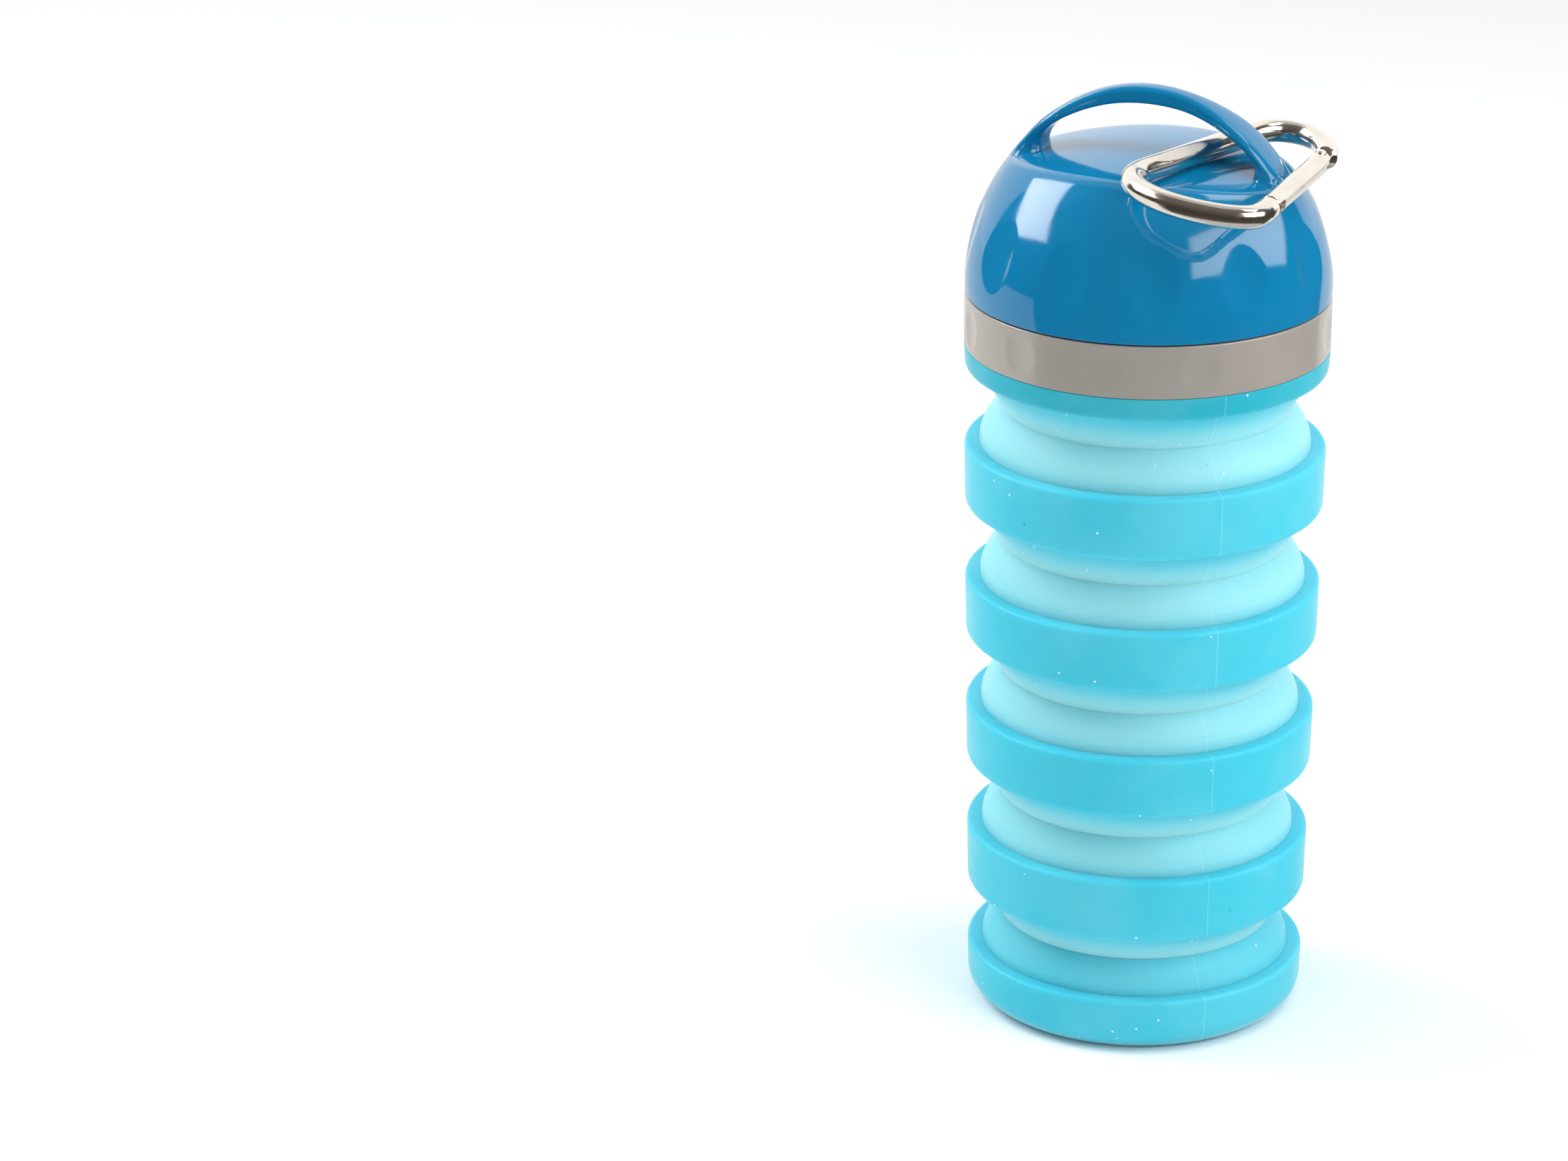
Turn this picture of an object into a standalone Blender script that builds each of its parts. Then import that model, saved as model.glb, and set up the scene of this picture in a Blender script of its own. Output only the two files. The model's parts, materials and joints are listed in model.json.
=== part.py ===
"""Folding water bottle: a silicone bellows body, a clamped threaded neck, a dome screw
cap with an arch handle, and a snap hook hung on the handle.

World frame: metres, +Z up, origin at the centre of the base's underside. The handle's
arch stands in the XZ plane. The bottle is modelled pulled out to its full height.
"""
from math import cos, pi, radians, sin, sqrt

import bmesh
import bpy
from mathutils import Matrix, Vector

MM = 0.001                      # every dimension below is in millimetres
GAP = 0.3                       # clearance between pieces that touch or slide
SIDES = 36                      # facets round a turned piece

# --- bellows body, from the base upwards -------------------------------------------------
# (name, ledge height, outer radius at the ledge, outer radius at the lower edge)
HOOPS = [
    ("base_cup", 12.0, 35.9, 35.7),
    ("hoop_e", 39.4, 36.3, 36.0),
    ("hoop_d", 67.1, 36.8, 36.5),
    ("hoop_c", 95.3, 37.25, 36.9),
    ("hoop_b", 124.75, 37.7, 37.4),
]
HOOP_BOTTOMS = [0.0, 25.6, 54.0, 82.2, 111.2]
NECK_HOOP_BOTTOM = 141.1
NECK_HOOP_TOP = 146.05
LEDGE_WIDTH = 3.2               # from a hoop's outer face in to the foot of the fold
WAIST_RATIO = 0.80              # the fold's waist radius over the outer radius
SKIN = 1.6                      # thickness of the silicone in the folds
BASE_CORNER = 6.0

# --- neck and cap -------------------------------------------------------------------------
OUTER_R = 38.0                  # cap and collar
COLLAR_BOTTOM = 146.35
SEAM = 157.6                    # height of the joint between collar and cap
NECK_TOP = 169.5
BORE_R = 27.5
THREAD_ROOT_R = 30.4
THREAD_TIP_R = 31.7
LINER_TIP_R = 30.9
LINER_ROOT_R = 32.4
THREAD_LEAD = 8.0               # rise in one turn; two starts
THREAD_TURNS = 1.0
THREAD_START = 159.8
DOME_RISE_ALONG = 39.7          # virtual height of the dome over the seam, along the handle
DOME_RISE_ACROSS = 35.7         # and across it
FLOOR_TOP = 187.7               # crown of the finger floor under the handle
FLOOR_DROP_X = 118.0            # the floor's radius of curvature along X
FLOOR_DROP_Y = 280.0            # and along Y
ARCH_RISE = 43.6                # the handle's outer outline is a half ellipse on the seam
ARCH_IN_A = 28.3                # the handle's inner outline is an ellipse too
ARCH_IN_B = 19.5
ARCH_IN_CENTRE = 178.0
ARCH_HALF_WIDTH = 2.4           # at the crown
ARCH_FLARE = 4.2                # extra half width at X = 30
ARCH_END = 78                   # degrees from the crown to the buried end of the bar
ARCH_SINK_FROM = 58             # from here on the bar's outer line sinks into the dome
ARCH_CHAMFER = 0.9
DRUM_HEIGHT = 2.0               # upright part of the cap over the seam
HOLLOW_R = 35.6                 # inside of the cap's skirt

# --- snap hook ----------------------------------------------------------------------------
WIRE_R = 2.4
HOOK_NEAR = Vector((6.9, -28.3, 189.75))    # start of the straight back, nearest the front
HOOK_FAR = Vector((20.4, 18.5, 189.3))      # its other end
HOOK_SIDE = Vector((36.0, -27.8, 187.4))    # a point of the gate, which sets the plane
GATE_PIVOT = (38.8, 18.2)       # along and across the back, measured from HOOK_NEAR
GATE_TIP = (8.6, 27.9)
GATE_R = 2.25
GATE_BORE_R = 1.45
TONGUE_HALF = 0.75              # half thickness of the flat tongues at both frame ends
SLOT_HALF = 1.05                # half width of the gate's slots
RIVET_R = 0.8
RIVET_HEAD_R = 1.15
RIVET_HEAD = 0.5
HOLE_PLAY = 0.25                # how much larger than the rivet its holes are, in radius


def clear_scene():
    for ob in list(bpy.data.objects):
        bpy.data.objects.remove(ob)


def collection(name):
    col = bpy.data.collections.new(name)
    bpy.context.scene.collection.children.link(col)
    return col


def material(name, colour, roughness, metallic=0.0):
    mat = bpy.data.materials.new(name)
    mat.use_nodes = True
    shader = mat.node_tree.nodes["Principled BSDF"]
    shader.inputs["Base Color"].default_value = (*colour, 1.0)
    shader.inputs["Roughness"].default_value = roughness
    shader.inputs["Metallic"].default_value = metallic
    return mat


def add(name, mesh, mat, col, sharp=35.0):
    mesh.materials.append(mat)
    mesh.shade_smooth()
    mesh.set_sharp_from_angle(angle=radians(sharp))
    ob = bpy.data.objects.new(name, mesh)
    col.objects.link(ob)
    return ob


def arc(centre, radius, start, end, count):
    """Points on an arc, angles in degrees from +X towards +Z."""
    return [(centre[0] + radius * cos(radians(start + (end - start) * i / count)),
             centre[1] + radius * sin(radians(start + (end - start) * i / count)))
            for i in range(count + 1)]


def turned(name, outline, mat, col, closed=True):
    """A turned piece: an (r, z) outline in millimetres that runs down its outer side."""
    mesh = bpy.data.meshes.new(name)
    verts = [(r * MM, 0.0, z * MM) for r, z in outline]
    edges = [(i, i + 1) for i in range(len(verts) - 1)]
    if closed:
        edges.append((len(verts) - 1, 0))
    mesh.from_pydata(verts, edges, [])
    ob = add(name, mesh, mat, col)
    screw = ob.modifiers.new("turn", "SCREW")
    screw.steps = screw.render_steps = SIDES
    screw.use_merge_vertices = True
    screw.merge_threshold = 0.00001
    screw.use_smooth_shade = True
    return ob


def cut(ob, cutter, operation="DIFFERENCE"):
    boolean = ob.modifiers.new(cutter.name, "BOOLEAN")
    boolean.operation = operation
    boolean.object = cutter
    boolean.solver = "EXACT"
    cutter.hide_render = True
    cutter.display_type = "WIRE"


def loft(sections):
    """Skin a list of equal closed sections (lists of Vectors) and cap both ends."""
    bm = bmesh.new()
    rings = [[bm.verts.new(p * MM) for p in section] for section in sections]
    count = len(rings[0])
    for lower, upper in zip(rings, rings[1:]):
        for i in range(count):
            j = (i + 1) % count
            bm.faces.new((lower[i], lower[j], upper[j], upper[i]))
    bm.faces.new(reversed(rings[0]))
    bm.faces.new(rings[-1])
    bmesh.ops.recalc_face_normals(bm, faces=bm.faces)
    mesh = bpy.data.meshes.new("loft")
    bm.to_mesh(mesh)
    bm.free()
    return mesh


def block(name, low, high, mat, col):
    bm = bmesh.new()
    bmesh.ops.create_cube(bm, size=1.0)
    low, high = Vector(low) * MM, Vector(high) * MM
    for v in bm.verts:
        v.co = (low + high) / 2 + Vector(a * b for a, b in zip(v.co, high - low))
    mesh = bpy.data.meshes.new(name)
    bm.to_mesh(mesh)
    bm.free()
    return add(name, mesh, mat, col)


# --- silicone -----------------------------------------------------------------------------
def waist_of(hoop_bottom, ledge_below, lower_radius):
    """Height and outer radius of the waist between one hoop and the ledge below it."""
    return (hoop_bottom + ledge_below) / 2, WAIST_RATIO * lower_radius


def skirt_outline(bottom, lower_r, waist):
    """From a hoop's lower corner in to the waist and back up the inside."""
    waist_z, waist_r = waist
    root_r = lower_r - 3.3
    return (arc((lower_r - 0.8, bottom + 0.8), 0.8, 0, -90, 2)
            + [(root_r, bottom), (waist_r + 0.4, waist_z + 0.8), (waist_r + 0.3, waist_z),
               (waist_r - SKIN, waist_z), (root_r - SKIN, bottom + 0.9)])


def hoop(name, ledge, bottom, upper_r, lower_r, waist, mat, col):
    """One stiff hoop of the bellows with the tapered half fold under it."""
    inner_r = upper_r - LEDGE_WIDTH
    outline = [(inner_r, ledge)] + arc((upper_r - 0.9, ledge - 0.9), 0.9, 90, 0, 2)
    outline += skirt_outline(bottom, lower_r, waist)
    return turned(name, outline, mat, col)


def base_cup(mat, col):
    name, ledge, upper_r, lower_r = HOOPS[0]
    inner_r = upper_r - LEDGE_WIDTH
    floor = 2.6
    outline = [(0.0, floor), (inner_r - 5.0, floor)]
    outline += arc((inner_r - 5.0, floor + 5.0), 5.0, -90, 0, 3)
    outline += [(inner_r, ledge)]
    outline += arc((upper_r - 0.9, ledge - 0.9), 0.9, 90, 0, 2)
    outline += arc((lower_r - BASE_CORNER, BASE_CORNER), BASE_CORNER, 0, -90, 4)
    outline += [(24.0, 0.0), (23.2, 0.7), (20.8, 0.7), (20.0, 0.0), (0.0, 0.0)]
    return turned(name, outline, mat, col, closed=False)


def fold_web(name, ledge, foot_r, waist, mat, col):
    """The thin cone that turns inside out as its fold closes."""
    waist_z, waist_r = waist
    foot, top = ledge + GAP, waist_z - GAP
    belly = (foot_r + waist_r) / 2 + 0.5
    middle = (foot + top) / 2
    skin = SKIN - 0.5
    outline = [(waist_r - 0.2, top), (belly, middle), (foot_r - GAP, foot),
               (foot_r - GAP - skin, foot), (belly - skin, middle - 0.3),
               (waist_r - 0.2 - skin, top)]
    return turned(name, outline, mat, col)


def neck_hoop(waist, mat, col):
    """The top hoop: a band under the collar, with the flange that the neck clamps."""
    lower_r = OUTER_R - 0.4
    outline = [(31.0, 150.6), (34.6, 150.6), (34.6, 147.6), (32.8, 147.6),
               (32.8, NECK_HOOP_TOP)]
    outline += arc((OUTER_R - 0.4, NECK_HOOP_TOP - 0.4), 0.4, 90, 0, 2)
    outline += skirt_outline(NECK_HOOP_BOTTOM, lower_r, waist)
    outline += [(31.0, NECK_HOOP_BOTTOM + 3.4)]
    return turned("neck_hoop", outline, mat, col)


# --- neck ---------------------------------------------------------------------------------
def thread_ridge(root_r, tip_r, start_angle):
    """One thread start as a tapered ridge that winds up THREAD_TURNS turns."""
    steps = int(24 * THREAD_TURNS)
    sections = []
    for i in range(steps + 1):
        angle = start_angle + 2 * pi * THREAD_TURNS * i / steps
        z = THREAD_START + THREAD_LEAD * THREAD_TURNS * i / steps
        fade = min(1.0, i / 3 + 0.15, (steps - i) / 3 + 0.15)
        tip = root_r + (tip_r - root_r) * fade
        sunk = root_r - (0.3 if tip_r > root_r else -0.3)
        profile = [(sunk, z - 0.85), (tip, z - 0.4), (tip, z + 0.4), (sunk, z + 0.85)]
        sections.append([Vector((r * cos(angle), r * sin(angle), h)) for r, h in profile])
    return loft(sections)


def neck_insert(mat, col, tools):
    """The spout: a threaded tube whose flange clamps the silicone up into the collar."""
    outline = [(BORE_R, NECK_TOP)] + arc((THREAD_ROOT_R - 0.8, NECK_TOP - 0.8), 0.8, 90, 0, 2)
    outline += [(THREAD_ROOT_R, 151.2), (30.6, 150.9), (30.6, 144.1), (31.7, 143.1),
                (31.7, 142.4), (BORE_R + 0.8, 142.4), (BORE_R, 143.4)]
    insert = turned("neck_insert", outline, mat, col)
    for start in (0.0, pi):
        ridge = add("neck_thread", thread_ridge(THREAD_ROOT_R, THREAD_TIP_R, start), mat, tools)
        cut(insert, ridge, "UNION")
    return insert


def collar_ring(mat, col):
    """The outer ring round the neck: it hides and holds the clamped flange."""
    top, low = SEAM - GAP / 2, COLLAR_BOTTOM
    outline = [(30.8, top)] + arc((OUTER_R - 0.5, top - 0.5), 0.5, 90, 0, 2)
    outline += arc((OUTER_R - 0.6, low + 0.5), 0.5, 0, -90, 2)
    outline += [(33.2, low), (33.2, 147.3), (34.9, 147.3), (34.9, 151.0), (30.8, 151.0)]
    return turned("collar_ring", outline, mat, col)


# --- cap ----------------------------------------------------------------------------------
def dome_rise(x, y):
    """The dome is a little higher along the handle than across it."""
    reach = sqrt(x * x + y * y)
    along = abs(x) / reach if reach > 1e-6 else 0.0
    return DOME_RISE_ACROSS + (DOME_RISE_ALONG - DOME_RISE_ACROSS) * along ** 3


def cap_dome(mat, col):
    """Skirt and dome in one closed solid: a stretched half sphere on a short drum."""
    bottom = SEAM + GAP / 2
    drum_top = SEAM + DRUM_HEIGHT
    profile = [(0.0, 1.0)]
    profile += [(OUTER_R * sin(radians(a)), cos(radians(a))) for a in range(10, 91, 10)]
    outline = [(r, drum_top + DOME_RISE_ACROSS * z) for r, z in profile]
    outline += arc((OUTER_R - 0.5, bottom + 0.5), 0.5, 0, -90, 2) + [(0.0, bottom)]
    ob = turned("cap_shell", outline, mat, col, closed=False)
    mesh = bpy.data.meshes.new_from_object(ob.evaluated_get(
        bpy.context.evaluated_depsgraph_get()))
    ob.modifiers.clear()
    for v in mesh.vertices:
        above = v.co.z / MM - drum_top
        if above > 0.0:
            rise = dome_rise(v.co.x, v.co.y) - DRUM_HEIGHT
            v.co.z = (drum_top + above / DOME_RISE_ACROSS * rise) * MM
    ob.data = mesh
    return ob


def crown_floor(mat, tools):
    """A big flattened ellipsoid whose top is the finger floor."""
    height = 60.0
    bm = bmesh.new()
    bmesh.ops.create_uvsphere(bm, u_segments=36, v_segments=48, radius=1.0)
    wide, deep = sqrt(height * FLOOR_DROP_X), sqrt(height * FLOOR_DROP_Y)
    for v in bm.verts:
        v.co = Vector((v.co.x * wide, v.co.y * deep, v.co.z * height + FLOOR_TOP - height)) * MM
    mesh = bpy.data.meshes.new("finger_floor")
    bm.to_mesh(mesh)
    bm.free()
    return add("finger_floor", mesh, mat, tools)


def arch_section(turn):
    """One section of the handle bar, at an angle from the crown."""
    sink = max(0.0, (abs(turn) - ARCH_SINK_FROM) / (ARCH_END - ARCH_SINK_FROM)) ** 2
    out_r = OUTER_R * sin(radians(turn))
    half = ARCH_HALF_WIDTH + ARCH_FLARE * (out_r / 30.0) ** 2
    rise = (ARCH_RISE - sink) * cos(radians(turn))
    reach = (OUTER_R - sink) * sin(radians(turn))
    inner = Vector((ARCH_IN_A * sin(radians(turn)), 0.0,
                    ARCH_IN_CENTRE + ARCH_IN_B * cos(radians(turn))))
    outer = Vector((reach, 0.0, SEAM + rise))
    across = Vector((0.0, half, 0.0))
    up = (outer - inner).normalized() * ARCH_CHAMFER
    in_y = Vector((0.0, ARCH_CHAMFER, 0.0))
    return [inner - across + in_y, inner + across - in_y, inner + across + up,
            outer + across - up * 1.6, outer + across - in_y * 1.3,
            outer - across + in_y * 1.3, outer - across - up * 1.6, inner - across + up]


def cap_shell(mat, col, tools):
    shell = cap_dome(mat, col)
    cut(shell, crown_floor(mat, tools), "INTERSECT")
    turns = range(-ARCH_END, ARCH_END + 1, 6)
    arch = add("handle_bar", loft([arch_section(t) for t in turns]), mat, tools)
    cut(shell, arch, "UNION")
    bottom = SEAM - 1.0
    hollow = [(0.0, 184.2), (12.0, 183.6), (22.0, 180.8), (27.5, 177.8), (31.4, 174.7),
              (33.6, 171.0), (35.2, 166.0), (HOLLOW_R, 162.0), (HOLLOW_R, bottom), (0.0, bottom)]
    cut(shell, turned("cap_hollow", hollow, mat, tools, closed=False))
    return shell


def cap_liner(mat, col, tools):
    """The threaded cup inside the dome, with the seat for the gasket."""
    low = SEAM + 0.6
    outline = [(0.0, 174.4), (31.0, 174.4), (33.2, 170.8), (34.8, 165.8), (35.2, 161.8),
               (35.2, low), (LINER_ROOT_R + 0.5, low), (LINER_ROOT_R, low + 0.8),
               (LINER_ROOT_R, 170.0), (31.3, 172.3), (0.0, 172.3)]
    liner = turned("cap_liner", outline, mat, col, closed=False)
    for start in (pi / 2, 3 * pi / 2):
        ridge = add("liner_thread", thread_ridge(LINER_ROOT_R, LINER_TIP_R, start), mat, tools)
        cut(liner, ridge, "UNION")
    return liner


def cap_gasket(mat, col):
    low = NECK_TOP + GAP
    outline = [(BORE_R + 0.2, 172.0), (30.9, 172.0), (30.9, low + 0.9), (30.0, low),
               (28.4, low), (BORE_R + 0.2, low + 0.9)]
    return turned("cap_gasket", outline, mat, col)


# --- snap hook ----------------------------------------------------------------------------
def hook_axes():
    """The hook's own frame: along its back, across to the gate, and its plane's normal."""
    along = (HOOK_FAR - HOOK_NEAR).normalized()
    normal = along.cross(HOOK_SIDE - HOOK_NEAR).normalized()
    if normal.z < 0:
        normal.negate()
    across = normal.cross(along)
    if across.dot(HOOK_SIDE - HOOK_NEAR) < 0:
        across.negate()
    return along, across, normal


def hook_point(u, v, w=0.0):
    along, across, normal = hook_axes()
    return HOOK_NEAR + along * u + across * v + normal * w


def hook_matrix(origin, direction):
    """Local Z along an in-plane direction, local X along the plane's normal."""
    along, across, normal = hook_axes()
    z = (along * direction[0] + across * direction[1]).normalized()
    y = z.cross(normal)
    m = Matrix((normal, y, z)).transposed().to_4x4()
    m.translation = hook_point(*origin) * MM
    return m


def smooth_path(points, per_span):
    """Catmull-Rom points through a few hand-placed ones."""
    pts = [Vector(p) for p in points]
    pts = [2 * pts[0] - pts[1]] + pts + [2 * pts[-1] - pts[-2]]
    out = []
    for a, b, c, d in zip(pts, pts[1:], pts[2:], pts[3:]):
        for i in range(per_span):
            t = i / per_span
            out.append(0.5 * (2 * b + (c - a) * t + (2 * a - 5 * b + 4 * c - d) * t * t
                              + (3 * b - a - 3 * c + d) * t ** 3))
    return out + [pts[-2]]


def wire_mesh(path, radius, resolution):
    """A bevelled poly curve made into a closed mesh."""
    curve = bpy.data.curves.new("wire", "CURVE")
    curve.dimensions = "3D"
    curve.bevel_depth = radius * MM
    curve.bevel_resolution = resolution
    curve.use_fill_caps = True
    spline = curve.splines.new("POLY")
    spline.points.add(len(path) - 1)
    for point, place in zip(spline.points, path):
        point.co = (*(place * MM), 1.0)
    ob = bpy.data.objects.new("wire", curve)
    bpy.context.scene.collection.objects.link(ob)
    bpy.context.view_layer.update()
    mesh = bpy.data.meshes.new_from_object(ob.evaluated_get(
        bpy.context.evaluated_depsgraph_get()))
    bpy.data.objects.remove(ob)
    bm = bmesh.new()
    bm.from_mesh(mesh)
    bmesh.ops.remove_doubles(bm, verts=bm.verts, dist=0.000001)
    bmesh.ops.recalc_face_normals(bm, faces=bm.faces)
    bm.to_mesh(mesh)
    bm.free()
    return mesh


def rod(name, radius, low, high, matrix, mat, col, sides=16):
    """A cylinder along local Z between two heights, placed by a matrix."""
    bm = bmesh.new()
    bmesh.ops.create_cone(bm, cap_ends=True, segments=sides, radius1=radius * MM,
                          radius2=radius * MM, depth=(high - low) * MM)
    mesh = bpy.data.meshes.new(name)
    bm.to_mesh(mesh)
    bm.free()
    mesh.transform(Matrix.Translation((0, 0, (low + high) / 2 * MM)))
    ob = add(name, mesh, mat, col)
    ob.matrix_world = matrix
    return ob


def plate(name, half_x, half_y, low, high, matrix, mat, col):
    ob = block(name, (-half_x, -half_y, low), (half_x, half_y, high), mat, col)
    ob.matrix_world = matrix
    return ob


def gate_frame():
    """Matrix on the pivot with local Z towards the gate's tip, and the gate's length."""
    du, dv = GATE_TIP[0] - GATE_PIVOT[0], GATE_TIP[1] - GATE_PIVOT[1]
    return hook_matrix(GATE_PIVOT, (du, dv)), sqrt(du * du + dv * dv)


def across_pivot(matrix):
    """The same place with local Z along the plane's normal, for the rivet and its holes."""
    return matrix @ Matrix.Rotation(pi / 2, 4, "Y")


def carabiner_frame(mat, col, tools):
    """One bent wire: nose, wide bend, straight back, tight bend, and a tongue at each end."""
    nose = (GATE_TIP[0] - 0.953 * 0.35, GATE_TIP[1] + 0.306 * 0.35)
    outline = [nose, (4.6, 29.1), (0.4, 29.1), (-3.0, 25.6), (-5.3, 19.6), (-6.0, 12.6),
               (-4.6, 6.0), (-1.2, 1.0), (4.0, -1.6), (14.0, -1.7), (24.0, -1.7),
               (34.0, -1.7), (43.5, -1.6), (48.6, 0.6), (50.8, 5.2), (49.4, 10.6),
               (46.0, 14.6), (42.1, 17.1)]
    path = [hook_point(p.x, p.y) for p in smooth_path([Vector((*q, 0)) for q in outline], 2)]
    frame = add("carabiner_frame", wire_mesh(path, WIRE_R, 3), mat, col)
    place, length = gate_frame()
    pivot_tongue = plate("pivot_tongue", TONGUE_HALF, 1.5, -4.4, 1.5, place, mat, tools)
    cut(frame, pivot_tongue, "UNION")
    nose_tongue = plate("nose_tongue", TONGUE_HALF, 1.3, length - 2.6, length + 1.2, place,
                        mat, tools)
    cut(frame, nose_tongue, "UNION")
    cut(frame, rod("pivot_hole", RIVET_R + HOLE_PLAY, -4, 4, across_pivot(place), mat, tools, 12))
    return frame


def carabiner_gate(mat, col, tools):
    """A slotted tube on the rivet, closed by a solid web between its two slots."""
    place, length = gate_frame()
    gate = rod("carabiner_gate", GATE_R, -1.9, length, place, mat, col, 20)
    cut(gate, plate("pivot_slot", SLOT_HALF, 4, -4, 2.2, place, mat, tools))
    cut(gate, plate("tip_slot", SLOT_HALF, 4, length - 3.2, length + 2, place, mat, tools))
    cut(gate, rod("spring_bore", GATE_BORE_R, 0.5, 22.0, place, mat, tools, 16))
    cut(gate, rod("rivet_hole", RIVET_R + HOLE_PLAY, -4, 4, across_pivot(place), mat, tools, 12))
    return gate


def gate_rivet(mat, col):
    place, _ = gate_frame()
    reach = GATE_R + GAP
    shoulder = 0.85 * RIVET_HEAD
    outline = [(0.0, reach + RIVET_HEAD), (RIVET_R, reach + shoulder), (RIVET_HEAD_R, reach),
               (RIVET_R, reach), (RIVET_R, -reach), (RIVET_HEAD_R, -reach),
               (RIVET_R, -reach - shoulder), (0.0, -reach - RIVET_HEAD)]
    rivet = turned("gate_rivet", outline, mat, col, closed=False)
    rivet.modifiers["turn"].steps = rivet.modifiers["turn"].render_steps = 16
    rivet.matrix_world = across_pivot(place)
    return rivet


def gate_plunger(mat, col):
    """The sliding pin that presses on the frame's tongue."""
    place, _ = gate_frame()
    return rod("gate_plunger", GATE_BORE_R - 0.35, 2.5, 6.5, place, mat, col, 14)


def gate_spring(mat, col):
    place, _ = gate_frame()
    turns, steps, coil_r, low, high = 5, 8, 0.9, 7.2, 20.8
    path = []
    for i in range(turns * steps + 1):
        a = 2 * pi * i / steps
        z = low + (high - low) * i / (turns * steps)
        path.append((place @ Vector((coil_r * MM * cos(a), coil_r * MM * sin(a), z * MM))) / MM)
    return add("gate_spring", wire_mesh(path, 0.22, 1), mat, col)


def main():
    clear_scene()
    parts, tools = collection("folding_bottle"), collection("cutters")
    silicone = material("silicone", (0.075, 0.56, 0.72), 0.55)
    web = material("silicone_web", (0.25, 0.70, 0.80), 0.55)
    blue = material("cap_blue", (0.008, 0.14, 0.33), 0.2)
    pearl = material("collar_pearl", (0.34, 0.32, 0.29), 0.35)
    white = material("neck_white", (0.75, 0.76, 0.76), 0.4)
    nickel = material("nickel", (0.75, 0.72, 0.68), 0.15, 1.0)
    steel = material("steel", (0.55, 0.55, 0.56), 0.3, 1.0)

    bottoms = HOOP_BOTTOMS[1:] + [NECK_HOOP_BOTTOM]
    waists = []
    for i, bottom in enumerate(bottoms):
        lower_r = HOOPS[i + 1][3] if i + 1 < len(HOOPS) else OUTER_R - 0.4
        waists.append(waist_of(bottom, HOOPS[i][1], lower_r))
    base_cup(silicone, parts)
    for i in range(1, len(HOOPS)):
        name, ledge, upper_r, lower_r = HOOPS[i]
        hoop(name, ledge, HOOP_BOTTOMS[i], upper_r, lower_r, waists[i - 1], silicone, parts)
    neck_hoop(waists[-1], silicone, parts)
    for i, waist in enumerate(waists):
        _, ledge, upper_r, _ = HOOPS[i]
        fold_web(f"fold_web_{len(waists) - i}", ledge, upper_r - LEDGE_WIDTH, waist, web, parts)

    neck_insert(white, parts, tools)
    collar_ring(pearl, parts)
    cap_shell(blue, parts, tools)
    cap_liner(white, parts, tools)
    cap_gasket(silicone, parts)
    carabiner_frame(nickel, parts, tools)
    carabiner_gate(nickel, parts, tools)
    gate_rivet(nickel, parts)
    gate_plunger(steel, parts)
    gate_spring(steel, parts)


main()
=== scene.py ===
# %% [markdown]
# # A folding water bottle
# The real bottle is one soft silicone moulding, pleated like a concertina and clamped to a rigid threaded
# neck. A glossy dome cap with an arch handle screws on to it, and a snap hook of bent wire hangs on the
# handle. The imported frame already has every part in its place, with its joints. This script gives each part
# its real surface: round edges, dimples, mould lines, threads, and materials made of nodes.

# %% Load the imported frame
import json
from math import pi, radians

import bpy
import numpy as np
from mathutils import Matrix, Vector

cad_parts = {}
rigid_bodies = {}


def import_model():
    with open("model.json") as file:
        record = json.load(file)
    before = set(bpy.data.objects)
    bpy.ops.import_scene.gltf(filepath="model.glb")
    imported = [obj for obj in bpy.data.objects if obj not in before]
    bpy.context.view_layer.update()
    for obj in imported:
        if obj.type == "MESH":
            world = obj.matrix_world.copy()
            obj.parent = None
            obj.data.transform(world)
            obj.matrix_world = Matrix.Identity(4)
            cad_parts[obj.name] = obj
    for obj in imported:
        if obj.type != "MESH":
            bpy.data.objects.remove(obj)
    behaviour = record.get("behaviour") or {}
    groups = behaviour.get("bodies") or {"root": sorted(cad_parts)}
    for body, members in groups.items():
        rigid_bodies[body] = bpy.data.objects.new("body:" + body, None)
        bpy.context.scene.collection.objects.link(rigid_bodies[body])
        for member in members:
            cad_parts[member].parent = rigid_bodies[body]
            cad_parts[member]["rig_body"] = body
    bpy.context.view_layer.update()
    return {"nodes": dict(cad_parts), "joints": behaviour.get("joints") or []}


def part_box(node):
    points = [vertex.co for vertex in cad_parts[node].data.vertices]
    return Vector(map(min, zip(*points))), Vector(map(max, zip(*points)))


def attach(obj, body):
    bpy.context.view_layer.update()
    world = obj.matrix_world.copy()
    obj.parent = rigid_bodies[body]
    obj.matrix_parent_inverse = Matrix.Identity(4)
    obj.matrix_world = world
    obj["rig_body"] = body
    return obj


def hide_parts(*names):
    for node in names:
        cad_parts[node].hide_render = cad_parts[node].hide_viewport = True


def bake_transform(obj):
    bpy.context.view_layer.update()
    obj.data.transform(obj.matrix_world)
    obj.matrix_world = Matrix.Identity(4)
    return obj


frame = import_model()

MM = 0.001                      # outlines are in millimetres, Blender's own unit here is the metre
SAME = 1e-6                     # points closer together than this, in millimetres, are one point

# %% [markdown]
# ## From an outline to a skin
# Nearly everything on a bottle is turned: an outline of radius and height is carried round the axis.
# The Screw modifier could do it, but a grid of points worked out with numpy lets the same outline also
# carry a mould line, dimples or a thread, because every point knows its angle and its height.
# A corner of real moulded silicone or plastic is never sharp, so outlines are written as a few corners,
# each with a length over which it is rounded.

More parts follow.
